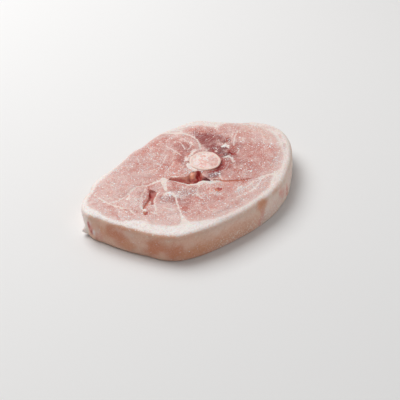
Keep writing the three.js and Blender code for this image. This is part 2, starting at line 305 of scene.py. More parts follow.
# %% Curve and distance helpers
def curve_through(knots, steps, closed=False):
    """A smooth curve that passes through every knot, as points. steps is the number per span."""
    knots = np.array(knots, float)
    if closed:
        padded = np.vstack([knots[-1], knots, knots[0], knots[1]])
    else:
        padded = np.vstack([2 * knots[0] - knots[1], knots, 2 * knots[-1] - knots[-2]])
    points = []
    for a, b, c, d in zip(padded, padded[1:], padded[2:], padded[3:]):
        t1 = np.linalg.norm(b - a) ** 0.5
        t2 = t1 + np.linalg.norm(c - b) ** 0.5
        t3 = t2 + np.linalg.norm(d - c) ** 0.5
        t = np.linspace(t1, t2, steps, endpoint=False)[:, None]
        ab = (t1 - t) / t1 * a + t / t1 * b
        bc = (t2 - t) / (t2 - t1) * b + (t - t1) / (t2 - t1) * c
        cd = (t3 - t) / (t3 - t2) * c + (t - t2) / (t3 - t2) * d
        abc = (t2 - t) / t2 * ab + t / t2 * bc
        bcd = (t3 - t) / (t3 - t1) * bc + (t - t1) / (t3 - t1) * cd
        points.append((t2 - t) / (t2 - t1) * abc + (t - t1) / (t2 - t1) * bcd)
    if not closed:
        points.append(knots[-1:])
    return np.vstack(points)


def distance_to_path(places, path):
    """How far each place is from a line of points, and how far along the line that is, 0 to 1."""
    x, y = np.ascontiguousarray(places.T)
    best = np.full(len(places), np.inf)
    share = np.zeros(len(places))
    lengths = np.linalg.norm(np.diff(path, axis=0), axis=1)
    done = np.concatenate([[0], np.cumsum(lengths)])
    for k, ((ax, ay), (bx, by)) in enumerate(zip(path, path[1:])):
        dx, dy = x - ax, y - ay
        sx, sy = bx - ax, by - ay
        along = np.clip((dx * sx + dy * sy) / lengths[k] ** 2, 0, 1)
        off = (dx - along * sx) ** 2 + (dy - along * sy) ** 2
        nearer = off < best
        best[nearer] = off[nearer]
        share[nearer] = (done[k] + along[nearer] * lengths[k]) / done[-1]
    return np.sqrt(best), share


def inside_loop(places, loop):
    """True where a place lies inside a closed line of points."""
    x, y = np.ascontiguousarray(places.T)
    inside = np.zeros(len(places), bool)
    for (ax, ay), (bx, by) in zip(loop, np.roll(loop, -1, axis=0)):
        if ay == by:
            continue
        crossing = ax + (y - ay) / (by - ay) * (bx - ax)
        inside ^= ((ay > y) != (by > y)) & (x < crossing)
    return inside


def depth_inside(places, loop):
    """Distance to a closed line: positive inside it, negative outside."""
    off, _ = distance_to_path(places, np.vstack([loop, loop[:1]]))
    return np.where(inside_loop(places, loop), off, -off)


def soft_step(start, end, values):
    """From 0 at start to 1 at end, level at both."""
    t = np.clip((values - start) / (end - start), 0, 1)
    return t * t * (3 - 2 * t)


def oval_reach(places, x, y, rx, ry, turn):
    """1 on the edge of an oval that is turned by so many radians, less inside it."""
    dx, dy = places[:, 0] - x, places[:, 1] - y
    u = dx * math.cos(turn) + dy * math.sin(turn)
    v = dy * math.cos(turn) - dx * math.sin(turn)
    return np.hypot(u / rx, v / ry)


def rough_noise(places, size, seed=0.0):
    """Smooth noise of about -1 to 1 whose lumps are size millimetres across."""
    scaled = np.asarray(places) / size + seed
    if scaled.shape[1] == 2:
        scaled = np.hstack([scaled, np.full((len(scaled), 1), seed)])
    return np.array([noise.noise(point) for point in scaled])


outline = curve_through(OUTLINE, 60, closed=True)
print("the outline spans", np.round(np.ptp(outline, axis=0), 1), "mm with", len(outline), "points")

# %% Rim tables
tangent = np.roll(outline, -1, axis=0) - np.roll(outline, 1, axis=0)
rim_outward = np.stack([tangent[:, 1], -tangent[:, 0]], axis=1)
rim_outward /= np.linalg.norm(rim_outward, axis=1)[:, None]
rim_angle = np.unwrap(np.arctan2(outline[:, 1], outline[:, 0]))
rim_along = np.concatenate([[0], np.cumsum(np.linalg.norm(np.diff(outline, axis=0), axis=1))])


def read_rim(angle):
    """The outline's point, its outward direction and its length so far, at an angle."""
    def column(values):
        return np.interp(angle, rim_angle, values, period=2 * math.pi)

    point = np.stack([column(outline[:, 0]), column(outline[:, 1])], axis=1)
    outward = np.stack([column(rim_outward[:, 0]), column(rim_outward[:, 1])], axis=1)
    return point, outward / np.linalg.norm(outward, axis=1)[:, None], column(rim_along)


def rim_room(places):
    """About how far inside the outline each place is: quicker than measuring to every span."""
    point, outward, _ = read_rim(np.arctan2(places[:, 1], places[:, 0]))
    return ((point - places) * outward).sum(axis=1)


print("the outline is about", round(float(rim_along[-1])), "mm long")

# %% [markdown]
# ## What shows on the cut face
#
# A slice through a leg shows ten or so muscles. Each bulges a little, with thin white sheets of
# connective tissue between them. The lean stops at a line, and outside it is the fat. These
# lists say where the muscles, the white seams and the openings are, in millimetres from the
# middle of the slice. They were placed muscle by muscle, so they are lists and not formulas,
# but each has only as many points as its shape needs.

# %% Muscles
# Low domes. name: x, y, half length, half width, turn, height of the dome
MUSCLES = {
    "round": (27, 42, 15.5, 19, 0.15, 0.9),
    "long back": (-55, 37, 43, 18, 0.14, 0.8),
    "folded": (-75, 4, 21, 9, 0.5, 0.5),
    "oval": (-57, -20, 15, 21, 0.25, 0.8),
    "corner": (-79, -31, 8, 13, 0.35, 0.5),
    "front": (-24, -46, 37, 17, -0.1, 0.7),
    "speckled": (14, -56, 25, 9, 0.05, 0.4),
    "big end": (66, -11, 35, 34, -0.35, 0.9),
    "dark": (53, 38, 13, 21, -0.35, 0.5),
    "middle": (-12, 38, 22, 24, 0.1, 0.4),
}
SEAM_SOFTNESS = 0.22     # share of a muscle's radius over which its dome rises

# %% Where the lean stops and the fat begins
LEAN_EDGE = [
    (-105, 27), (-104.5, 18), (-105, 10), (-104, 3), (-103, -3), (-100.5, -8), (-96.5, -10.5),
    (-90.5, -15), (-87, -20), (-86.5, -28), (-84, -33), (-79.5, -39), (-74, -44.5), (-70, -46),
    (-66, -44), (-63, -45.5), (-61.5, -49.5), (-57, -54.5), (-51, -58), (-46, -61), (-40, -63.5),
    (-34, -65), (-25, -66.3), (-10, -67.2), (5, -67), (15, -66), (22, -65.5), (26, -63.5),
    (30, -61), (35, -58.5), (42, -54.5), (48, -53.5), (55, -52.5), (60, -50), (66, -46.5),
    (71, -43), (76, -39), (80, -34.5), (84, -30.5), (88, -25), (92, -20), (97, -14), (100, -8),
    (101.5, 0), (102, 8), (100, 14), (98, 19), (95, 23), (92, 28), (88, 34), (83, 38),
    (77, 39.5), (72, 39), (70, 40.5), (69, 44), (66, 49), (63, 54), (58, 58), (52, 60.5),
    (44, 61), (40, 58.5), (36, 60.5), (33, 64), (29, 68), (24, 70), (18, 70.5), (8, 70),
    (0, 68.5), (-8, 67.5), (-15, 67), (-22, 65.5), (-29.6, 61.6), (-39.6, 59), (-49.6, 55.8),
    (-59.6, 53.2), (-69.6, 51), (-79.6, 47.6), (-85.4, 43.8), (-92.4, 41), (-99.2, 36.8), (-103, 32.4),
]

# %% White seams
# name: a path, the half width at its start and at its end, and how white it is
SEAMS = {
    "front wedge": ([(-65.5, -48), (-62, -41.5), (-58, -35)], 2.2, 0.5, 1),
    "oval, right": ([(-58.5, -36), (-54, -29), (-49.5, -22.6), (-43.5, -15.6)], 0.6, 0.6, 0.9),
    "oval, cap": ([(-48.4, -5.4), (-44.6, -5.6), (-42, -9), (-42.6, -13.4)], 0.9, 1.7, 1),
    "oval, left": ([(-48, 1), (-54, -2), (-60, -6), (-65.4, -12), (-69.4, -17), (-72.4, -21.4),
                    (-74, -25)], 0.35, 0.5, 0.7),
    "oval, cross line": ([(-59.4, -29), (-61, -25.6), (-63, -21)], 0.4, 0.6, 0.75),
    "round, right": ([(35, 62.5), (40.4, 57), (42.6, 49.5), (41.8, 42.5), (39, 35.5), (35, 29),
                      (29.5, 23.5)], 1.1, 0.45, 0.85),
    "round, far side": ([(12.8, 52.5), (19.6, 58.4), (27.6, 59.4), (34, 58)], 0.3, 0.5, 0.45),
    "round, left": ([(12.8, 52.5), (11.6, 47.5), (11.8, 43.5), (11.2, 36.5), (9.8, 29.5)], 0.4, 0.35, 0.7),
    "round, curl": ([(25, 48.5), (25, 44.4), (22.4, 39), (20, 34), (21.4, 31.4), (26.6, 33.2),
                     (31.2, 36.6), (31.7, 41.4), (30.4, 45.5)], 0.4, 0.35, 0.75),
    "round, near dot": ([(31, 36.4), (32.4, 39)], 1.0, 0.8, 0.9),
    "round, left dot": ([(21.8, 49.2), (23.2, 50.6)], 0.7, 0.7, 0.8),
    "round, far dot": ([(29.8, 49), (31, 50.2)], 0.7, 0.7, 0.8),
    "behind the round": ([(41, 60.5), (34.5, 65), (27, 67.5)], 2.4, 1.0, 0.75),
    "left upright": ([(-88.7, 46), (-90.7, 35), (-90.9, 26), (-90.2, 18), (-88, 9),
                      (-84.5, -4)], 0.65, 0.5, 0.95),
    "over the split": ([(-47.5, 15.5), (-56, 20.6), (-65.7, 19.3), (-71.2, 17.2), (-78, 17.4),
                        (-84, 17.3), (-89.2, 19.5)], 0.6, 0.5, 0.9),
    "blob by the split": ([(-60, 4.4), (-62.8, 2.6)], 0.9, 0.8, 0.75),
    "fork, arm": ([(-47, 15.5), (-40, 14.6), (-31, 12)], 0.8, 1.6, 0.95),
    "fork, stem": ([(-30.5, 12), (-34.5, 8), (-38, 3.4), (-41.6, -1.6)], 2.9, 1.0, 1),
    "fork, foot": ([(-38, 3.4), (-41, 5), (-44.5, 5)], 0.7, 0.4, 0.6),
    "gash, left lip": ([(-27, 7), (-25, 1), (-23, -4.5), (-21, -10)], 0.9, 1.1, 0.9),
    "gash, near lip": ([(-21.4, -10), (-18.6, -13.6), (-14.5, -15.8)], 1.1, 1.9, 1),
    "gash, lip crest": ([(-14.5, -15.8), (-10.4, -16.4), (-7.4, -18.8), (-5, -22.2),
                         (-1.6, -23.6)], 2.8, 2.6, 1),
    "gash, lip end": ([(-1.6, -24), (2, -26), (3.6, -29.4)], 2.2, 0.8, 1),
    "gash, lump": ([(-2.4, -0.4), (0.4, 1.6)], 1.1, 0.9, 0.95),
    "gash, far lip": ([(-22.4, 10.4), (-18.6, 6.4)], 0.7, 0.6, 0.8),
    "loop by the hole": ([(-67, -9), (-66.4, -13), (-70, -17.6), (-74, -19),
                          (-74.4, -16)], 0.45, 0.45, 0.8),
    "by the hole": ([(-74.6, -4), (-75.8, -7), (-76.4, -10.4)], 0.9, 1.5, 1),
    "flap, far edge": ([(-49, 15), (-58, 10.4), (-67, 3.4), (-74, -3)], 0.4, 0.7, 0.55),
    "flap, ridge": ([(-55, 9), (-61, 4), (-66, 1.6)], 0.4, 0.5, 0.55),
    "stroke a": ([(-90, 14), (-90, 10)], 0.5, 0.5, 0.8),
    "stroke b": ([(-88.4, 7), (-89, 3)], 0.6, 0.5, 1),
    "stroke c": ([(-85, -0.6), (-86, -6)], 0.8, 0.5, 1),
    "stroke d": ([(-74.6, 13.4), (-69.4, 16)], 0.7, 0.7, 0.9),
    "stroke e": ([(-70, 10), (-71, 5)], 0.6, 0.4, 0.8),
    "stroke f": ([(-82, 8), (-79, 7)], 0.5, 0.5, 0.8),
    "stroke g": ([(-96, 1), (-91.6, 4.6), (-93, 1)], 0.4, 0.4, 0.7),
    "folded, threads": ([(-89, 26), (-81.7, 23.8), (-79, 20)], 0.4, 0.4, 0.7),
    "folded, foot": ([(-90, 6.4), (-85, 2.4), (-82, -3)], 0.6, 0.5, 0.7),
    "long back, thread": ([(-21, 57), (-30, 44), (-38, 36)], 0.3, 0.3, 0.5),
    "middle, thread": ([(0, 40), (-10, 33), (-22, 29), (-30, 31)], 0.4, 0.3, 0.6),
    "middle, low thread": ([(-4, 26), (-12, 22), (-20, 20)], 0.4, 0.4, 0.6),
    "grey muscle, low": ([(-27, -24.5), (-29, -28.2), (-25, -29), (-21, -29.6)], 0.4, 0.6, 0.6),
    "lobe": ([(-19, -19), (-25.2, -24.4), (-29.6, -31), (-29.8, -35.4)], 0.5, 0.5, 0.65),
    "lobe, right": ([(-10.2, -21), (-15, -26.4)], 0.45, 0.4, 0.55),
    "round the pit": ([(-13.6, -29), (-17.6, -32.6), (-17, -38.6), (-13.4, -42.6)], 0.5, 0.5, 0.5),
    "speckled, streaks": ([(2.2, -46.7), (6, -46.8), (10.1, -45.7)], 0.6, 0.7, 0.95),
    "speckled, middle": ([(10, -50.5), (16, -50.4), (22, -49)], 0.5, 0.6, 0.8),
    "speckled, near": ([(-8, -55), (0, -56.4), (5, -55.6)], 0.5, 0.5, 0.7),
    "speckled, far": ([(24, -50), (29, -51.6), (35, -51.6)], 0.5, 0.6, 0.85),
    "speckled, long": ([(7.6, -57.2), (13, -57), (20, -55.6), (26.1, -53.3)], 0.7, 0.7, 0.95),
    "speckled, top": ([(28, -47.8), (32, -48.8), (37, -50.6), (43, -54)], 0.6, 1.4, 0.9),
    "crack, far side": ([(9.6, -19.8), (7.4, -22), (5.8, -25.4)], 0.45, 0.4, 0.75),
    "rim line": ([(101, 24), (105.4, 11), (103.8, -7), (98.4, -20), (93, -28)], 0.5, 0.5, 0.8),
    "end, streak": ([(94, -10), (83, -20), (73.5, -23.5)], 0.8, 0.4, 0.4),
    "end, inner streak": ([(93, 0), (83, -11), (74, -16)], 0.8, 0.4, 0.4),
    "big streak": ([(82, 22), (74.8, 17.7), (67.3, 13), (60, 7.4), (56.6, 4.4)], 0.35, 0.6, 0.85),
    "second streak": ([(77.2, 23), (72, 19.6), (67.4, 16.6)], 0.35, 0.45, 0.8),
    "pale spot": ([(73, 7.6), (68.4, 3)], 1.0, 0.5, 0.6),
    "pale arc": ([(78, 0), (75.4, -5.6)], 0.9, 0.4, 0.55),
    "white blotch": ([(47.6, 11), (51.4, 9.6), (49.4, 5.4)], 1.4, 1.0, 1),
    "blotch, arm": ([(54, 13), (50, 10)], 0.4, 0.8, 0.9),
    "bone, far specks": ([(34, 11), (38, 10.4)], 0.7, 0.9, 0.9),
    "beside the bone": ([(34.4, -2), (37.4, -5)], 1.3, 0.8, 0.7),
    "under the slit": ([(38.6, -4.6), (37.2, -10.2), (34, -14)], 1.0, 0.7, 0.75),
    "behind the slit": ([(46.5, -7.6), (51, -6.4), (54, -4)], 0.5, 0.4, 0.6),
    "back line": ([(-49, 60), (-50, 50)], 0.5, 0.4, 0.6),
    "bone collar": ([(6.4, 18.6), (9.6, 21.6), (13, 22)], 1.6, 2.0, 0.95),
    "bone collar, far": ([(17, 22.6), (20.6, 25.6), (25, 26)], 1.5, 1.3, 0.9),
    "bone collar, left": ([(-0.6, 3), (-0.4, 8), (1.6, 12)], 1.2, 2.0, 0.95),
    "bone collar, near": ([(3.4, -6.6), (0.6, -2)], 0.8, 1.4, 0.7),
    "over the bone": ([(31.2, 17.4), (36.6, 18.6)], 0.6, 0.5, 0.5),
}

# %% Openings in the cut face
# Tears between muscles have one steep wall, and a floor that rises slowly the other way.
# name: mouth, the way the floor rises, slopes of the floor, the steep wall and the sides, depth
TEARS = {
    "gash": (
        [(-27.6, 8.4), (-25.6, 2.8), (-23.8, -2.6), (-22, -7.4), (-20.3, -11), (-16.2, -14.2),
         (-11.6, -13.8), (-7.8, -15.2), (-6.2, -18.4), (-4.2, -20.8), (-2.6, -19.2), (-1.8, -15),
         (-1.2, -11), (-0.8, -7.4), (1.2, -3.4), (0.2, -1), (-2.6, 1.2), (-5, 2.6), (-8.6, 1.4),
         (-11.4, 0.6), (-15, 1.8), (-18.4, 5), (-21.4, 8.4), (-24.6, 10)],
        (0.73, 0.68), 0.62, 3.0, 1.9, 8.5,
    ),
    "long split": (
        [(-47.7, 15.1), (-51.2, 10.5), (-54.3, 6.8), (-58.9, 2.8), (-63.1, -0.4), (-68.2, -3),
         (-73.3, -5.6), (-75.8, -7.6), (-74.6, -8.8), (-70.6, -7.5), (-66.3, -5.5), (-62.6, -3.6),
         (-63.8, -5.9), (-66.8, -9), (-65.2, -10.4), (-60.9, -5.9), (-56.7, -3.1), (-52, -0.4),
         (-49.2, 2), (-49, 5), (-49.7, 8.4), (-47.9, 12.9)],
        (0.6, -0.8), 0.7, 2.4, 2.0, 4.6,
    ),
    "small hole": (
        [(-78, -10.7), (-75.7, -12.8), (-77, -15.6), (-79.2, -17), (-81.2, -15.4), (-80, -12.4)],
        (0.3, 0.95), 0.6, 1.6, 1.2, 1.8,
    ),
    "front pit": (
        [(-11.4, -32.4), (-8, -32), (-6, -34), (-6.2, -37), (-9.6, -38.8), (-12.6, -37.4), (-13.4, -34.8)],
        (0.3, 0.95), 0.6, 1.6, 1.1, 2.6,
    ),
}
# Lens-shaped holes. name: x, y, length, width, turn, depth
PITS = {
    "bone slit": (43.4, -3.4, 7, 2.6, 1.7, 1.8),
}
# Strands of meat inside the gash: a path, how far they stand out, half width
STRANDS = [
    ([(-15.6, -9.8), (-10, -4.4), (-5.4, -0.2)], 1.9, 3.0),
    ([(-11, -13), (-6, -8.4), (-0.6, -3.4)], -1.9, 1.7),
    ([(-6.6, -13.9), (-3.6, -11), (-1.4, -8.8)], 1.2, 1.3),
]
# Ridges of the cut face, at the gash and beside the bone: a path, height, half width
LIP = ([(-20, -12.6), (-14, -16), (-8.6, -17.6), (-4.6, -22), (1.5, -25.6)], 0.7, 2.0)
COLLAR = ([(3.4, -8), (0.4, -2), (-0.2, 4), (1.6, 11.4), (6.2, 18.4), (13.4, 22), (21.4, 22.6),
           (28, 22)], 1.0, 1.9)
CRACK = [(-0.5, -21), (3.6, -24.6), (4.6, -28.6), (8.6, -33), (14, -37.4), (19.5, -41.4), (25, -44.6)]
CRACK_WIDTH = 2.2
CRACK_DEPTH = 1.2

# %% Raw red lines and painted shade lines
# Where meat was torn or blood gathers, and a few painted shade and shadow lines: a path, the half width at
# its start and end, how strong
RAW_AND_SHADE_LINES = [
    ([(26, 68.4), (30, 66), (33, 63)], 0.9, 0.6, 0.4),
    ([(35, 67.6), (38, 64.6), (41, 62)], 0.8, 0.6, 0.35),
    ([(18, 71.6), (23, 71), (26, 69.6)], 0.7, 0.6, 0.35),
    ([(44, 64.6), (50, 62.6), (56, 61)], 0.7, 0.6, 0.3),
    ([(105.5, 3), (104.6, 9)], 1.4, 1.0, 0.22),
    ([(108, 2), (107, -4)], 1.4, 1.2, 0.2),
    ([(103, -14), (99, -20)], 1.4, 1.0, 0.25),
    ([(92, -29), (85, -34)], 1.2, 1.0, 0.3),
    ([(99, 22), (94, 30)], 0.9, 0.8, 0.22),
    ([(-100, 34.5), (-93, 39), (-86, 42), (-80, 45.6)], 1.0, 0.9, 0.3),
    ([(-3, -21.6), (1.3, -24.6), (3.8, -28.8), (8, -33.2), (14.2, -37.6), (21.6, -41.8),
      (26.7, -45.4)], 0.8, 0.5, 0.75),
    ([(0.6, -4.2), (4.4, -8.2), (9, -11), (15.3, -12.7), (21, -12.2), (25.6, -9.8)], 0.5, 0.7, 1),
    ([(9.6, -12.6), (15.6, -14), (20.6, -13.6)], 0.8, 0.6, 0.9),
    ([(24, -11.6), (29, -8.4), (33, -4)], 0.8, 1.0, 0.75),
    ([(20.3, -17.6), (25, -16.6), (30.6, -15.9)], 0.5, 0.5, 0.7),
    ([(24.6, -14), (30, -12.4), (33.4, -11)], 0.6, 0.5, 0.65),
    ([(36, 12.4), (34.2, 6.6), (36.6, 2.2)], 1.3, 1.1, 0.85),
    ([(43.8, -0.4), (42.2, -4.6), (45.4, -6.6)], 0.9, 0.7, 0.95),
    # painted shadow beside the big white streak, in dark red
    ([(50, 1), (55, 2.8), (61, 4)], 0.5, 0.5, 0.5),
    ([(57, 14), (60, 16.4), (64, 19)], 1.2, 0.9, 0.55),
    ([(10.5, 21.8), (15.5, 25.4), (19.5, 26.2)], 0.7, 0.6, 0.7),
    ([(12.8, 56), (17, 60.6), (24, 62.6)], 0.7, 0.5, 0.5),
    ([(-63.5, 31.8), (-55.1, 25.1), (-48.3, 16.8)], 0.8, 0.5, 0.35),
    ([(-51.6, 16.4), (-56.5, 12.1), (-62, 8.8)], 0.5, 0.5, 0.4),
    # along the steep left wall of the long split: painted shade, in dark red
    ([(-47.8, 14.6), (-51.4, 9.8), (-54.6, 6), (-59.2, 1.8), (-63.3, -1.4), (-68.4, -4.2)], 0.7, 0.9, 0.45),
    ([(-90.4, 5.2), (-85.3, 0.7), (-82.9, -5), (-82.4, -9.6)], 0.9, 0.7, 0.45),
    ([(-88, 3), (-86, -1)], 0.7, 0.6, 0.6),
    ([(-82, -1), (-83, -5), (-83, -9)], 0.9, 0.8, 0.6),
    ([(-79, -2), (-76.4, -2)], 0.6, 0.6, 0.5),
    ([(-98, 0), (-100, -4)], 0.8, 0.7, 0.5),
    ([(-70, 17), (-73, 15.6)], 0.5, 0.4, 0.5),
    # inside the long split, along its steep left wall: painted shade, in dark red
    ([(-48, 13.4), (-55, 7.4), (-62, 2), (-70, -3.6)], 0.7, 0.8, 0.7),
    # this line and the four after it follow the bone's lower right edge: painted shadow of the proud bone, in
    # dark red
    ([(27, -12), (22, -14), (18, -15)], 0.5, 0.4, 0.9),
    ([(32, -10.6), (27, -13)], 0.5, 0.5, 0.8),
    ([(5, -8.4), (10, -11), (16, -11.4), (22, -9.6), (26, -7.4)], 0.6, 0.8, 1),
    ([(28, -5), (31.6, -3.6), (34, -1)], 0.7, 0.6, 0.9),
    ([(9.6, -10.4), (16.8, -12), (22.9, -10.8), (28.4, -7.2), (32.2, -1.5), (33.4, 4)], 0.5, 0.8, 0.7),
    ([(46, 1.6), (44, -3), (45, -8)], 0.7, 0.5, 1),
    ([(-100.8, 29.4), (-98.4, 26.8)], 0.7, 0.7, 0.5),
    ([(-92.2, 37), (-90.4, 33.2)], 0.8, 0.6, 0.45),
    ([(-101, -3.6), (-99, -2.6)], 0.9, 0.7, 0.45),
    ([(-30.4, 48), (-27, 45), (-26, 42)], 1.6, 1.3, 0.35),
    ([(-57, 52), (-53, 51), (-50, 49.8)], 1.0, 0.9, 0.4),
    ([(-14.4, 30), (-10.6, 27.6)], 0.8, 0.8, 0.45),
    ([(-9, 30), (0, 25.6), (6, 23.6)], 0.6, 0.6, 0.35),
    ([(-34, 22), (-30, 18), (-26.6, 12.6)], 0.7, 0.7, 0.4),
]

lean_edge = curve_through(LEAN_EDGE, 4, closed=True)
tear_mouths = {name: curve_through(tear[0], 6, closed=True) for name, tear in TEARS.items()}
print(len(MUSCLES), "muscles,", len(SEAMS), "white seams,", len(PITS) + len(TEARS) + 1, "openings")

# %% [markdown]
# ## The height of the cut face
#
# The relief is one function of the place on the face, as in the engineering model, with finer
# things added: domes, a shallow dip along each seam, sunken meat beside the bone, the openings
# and the small unevenness of sawn, half-frozen meat. It could be sculpted by hand, but a
# function gives the same result each time and tells the frost crystals where to lie.

# %% Bone outline
def bone_reach(angle):
    """Distance from the bone's axis to its skin in the direction of an angle."""
    turned = angle - BONE_TURN
    return BONE_RADIUS * (1 + BONE_EGG * np.cos(2 * turned) + 0.3 * BONE_EGG * np.cos(3 * turned))


def beyond_bone(places):
    """How far outside the bone's skin each place is, in millimetres."""
    offset = places - BONE_AT
    return np.hypot(*offset.T) - bone_reach(np.arctan2(offset[:, 1], offset[:, 0]))


# %% Openings
def pit_depth(places, x, y, length, width, turn, depth):
    """Depth of a lens-shaped hole."""
    dx, dy = places[:, 0] - x, places[:, 1] - y
    u = (dx * math.cos(turn) + dy * math.sin(turn)) / (0.5 * length)
    v = dy * math.cos(turn) - dx * math.sin(turn)
    room = np.clip(1 - u * u, 0, 1)
    off = np.abs(v) / (0.5 * width * room ** 0.8 + 1e-6)
    return depth * np.clip(1 - off ** 1.5, 0, 1) * room ** 0.3


def reach_against(places, loop, way):
    """Distance from each place to a closed line in one direction."""
    best = np.full(len(places), np.inf)
    across = np.array((-way[1], way[0]))
    side, ahead_of = places @ across, places @ way
    for a, b in zip(loop, np.roll(loop, -1, axis=0)):
        start, end = a @ across, b @ across
        if abs(end - start) < 1e-9:
            continue
        share = (side - start) / (end - start)
        distance = a @ way + share * ((b - a) @ way) - ahead_of
        best = np.where((share >= 0) & (share <= 1) & (distance > 0), np.minimum(best, distance), best)
    return best


def strand_height(places):
    """How far the strands in the gash stand out at each place."""
    height = np.zeros(len(places))
    for path, tall, half in STRANDS:
        off, _ = distance_to_path(places, np.array(path, float))
        height += tall * np.exp(-(off / half) ** 2)
    return height


def tear_depth(places, name):
    """Depth of a tear: one steep wall, and a floor that rises slowly to the far lip."""
    _, way, floor_slope, wall_slope, side_slope, deepest = TEARS[name]
    mouth = tear_mouths[name]
    depth = np.zeros(len(places))
    inside = inside_loop(places, mouth)
    spots = places[inside]
    way = np.array(way) / math.hypot(*way)
    rising = floor_slope * reach_against(spots, mouth, way)
    steep = wall_slope * reach_against(spots, mouth, -way)
    sides = side_slope * distance_to_path(spots, np.vstack([mouth, mouth[:1]]))[0]
    down = np.min([rising, steep, sides], axis=0)
    if name == "gash":
        down -= strand_height(spots) * soft_step(0, 3, down)
    depth[inside] = deepest * np.tanh(np.clip(down, 0, None) / deepest)
    return depth


def crack_depth(places):
    """Depth of the long crack, which is narrow at its ends."""
    path = curve_through(CRACK, 6)
    off, share = distance_to_path(places, path)
    half = 0.5 * CRACK_WIDTH * (0.2 + 0.8 * np.sin(np.pi * np.clip(0.15 + 0.85 * share, 0, 1)))
    return CRACK_DEPTH * np.clip(1 - off / half, 0, 1) ** 0.8


def opening_depth(places):
    """How far the bottom of any opening lies under the cut face."""
    depths = [pit_depth(places, *pit) for pit in PITS.values()]
    depths += [tear_depth(places, name) for name in TEARS]
    return np.max([*depths, crack_depth(places)], axis=0)


# %% Cut face
FACE_DROP = 0.6          # the cut face lies this far under the full thickness, between the domes
MOAT_DEPTH = 1.7         # sunken meat along the side of the bone that faces +X and the front
MOAT_AWAY = 2.0          # its middle lies this far from the bone
MOAT_HALF = 2.4
MOAT_TURN = 0.95         # direction of its deepest part, clockwise from +X


def beyond_line(places, path, start, end):
    """How far outside a line each place is. Its half width goes evenly from start to end."""
    off, share = distance_to_path(places, curve_through(path, 4))
    return off - (start + (end - start) * share)


def seam_fields(places):
    """Distance beyond the edge of the nearest white seam, and how white it is."""
    gap = np.full(len(places), np.inf)
    white = np.zeros(len(places))
    for path, start, end, whiteness in SEAMS.values():
        beyond = beyond_line(places, path, start, end)
        nearer = beyond < gap
        gap = np.where(nearer, beyond, gap)
        white = np.where(nearer, whiteness, white)
    return gap, white


def raw_and_shade_amount(places):
    """How raw and red the torn lines are at each place, and how dark the painted shade lines are."""
    raw = np.zeros(len(places))
    for path, start, end, amount in RAW_AND_SHADE_LINES:
        raw = np.maximum(raw, amount * soft_step(0.7, -0.3, beyond_line(places, path, start, end)))
    return raw


def cut_face(places):
    """Height of the cut face in millimetres over the table, without the openings."""
    domes = np.zeros(len(places))
    for x, y, rx, ry, turn, dome in MUSCLES.values():
        reach = oval_reach(places, x, y, rx, ry, turn)
        rise = dome * (1 - soft_step(1 - SEAM_SOFTNESS, 1, reach)) * (1 - 0.35 * reach ** 2)
        domes = np.maximum(domes, rise)
    ridges = 0
    for path, height, half in (LIP, COLLAR):
        off, _ = distance_to_path(places, np.array(path, float))
        ridges = ridges + height * np.exp(-(off / half) ** 2)
    x, y = places.T
    swell = 0.35 * np.sin(x / 21 + 0.6) * np.cos(y / 17 - 0.4) + 0.15 * np.sin(x / 8 + y / 11)
    offset = places - BONE_AT
    facing = np.cos(np.arctan2(offset[:, 1], offset[:, 0]) + MOAT_TURN)
    near_bone = np.exp(-((beyond_bone(places) - MOAT_AWAY) / MOAT_HALF) ** 2)
    moat = MOAT_DEPTH * np.clip(facing, 0, 1) * near_bone
    return THICKNESS - FACE_DROP + domes + ridges + swell - moat


print("cut face at the middle:", np.round(cut_face(np.zeros((1, 2))), 2), "mm")

# %% [markdown]
# ## The slice's mesh
#
# The body is a thick sheet: a fine grid for the cut face, a coarser one below, and rows of
# faces between them. A square grid can be eased into a disc without folding, so the work starts
# with two square grids, joins their borders with `bridge_loops` and cuts the joining faces into
# rows with `subdivide_edges`. At that stage it is a plain square block from -1 to 1. Only then
# are its points moved to their places on the real slice.

# %% Grid block
FACE_COLUMNS = 272       # even numbers: the underside has half as many
FACE_ROWS = 180
SIDE_ROWS = 22


def make_grid_block():
    """A square block from -1 to 1: fine on top, half as fine below, rows round the side."""
    bm = bmesh.new()
    for height, share in ((1, 1), (0, 2)):
        columns, rows = FACE_COLUMNS // share, FACE_ROWS // share
        at = Matrix.Translation((0, 0, height))
        bmesh.ops.create_grid(bm, x_segments=columns, y_segments=rows, size=1, matrix=at)
    below = [face for face in bm.faces if face.verts[0].co.z < 0.5]
    bmesh.ops.reverse_faces(bm, faces=below)
    coarse = [edge for edge in bm.edges if edge.is_boundary and edge.verts[0].co.z < 0.5]
    bmesh.ops.subdivide_edges(bm, edges=coarse, cuts=1)
    rim = [edge for edge in bm.edges if edge.is_boundary]
    bmesh.ops.bridge_loops(bm, edges=rim)
    uprights = [edge for edge in bm.edges if abs(edge.verts[0].co.z - edge.verts[1].co.z) > 0.5]
    slanted = sum((edge.verts[0].co - edge.verts[1].co).xy.length > 1e-4 for edge in uprights)
    print(len(uprights), "uprights join the sheets,", slanted, "of them slanted")
    bmesh.ops.subdivide_edges(bm, edges=uprights, cuts=SIDE_ROWS - 1, use_grid_fill=True)
    return bm


block = make_grid_block()
print("the block has", len(block.verts), "points and", len(block.faces), "faces")

# %% [markdown]
# ## From the block to the slice
#
# Every point of the block has a direction from the middle, and the outline gives how far the
# slice reaches that way. Points on the border also follow the rounded profile of the side: a
# soft upper edge, a slightly leaning wall and a tighter edge at the table.

# %% Side profile
BELLY = 0.7              # the middle of the wall stands out this much more than its ends
# Upright dents in the skin: x, y, width, depth
CREASES = [(3, -75.5, 5, 0.9), (36, -71, 6, 0.6), (-112, 9, 5, 0.7), (-96, -42, 14, 0.5)]


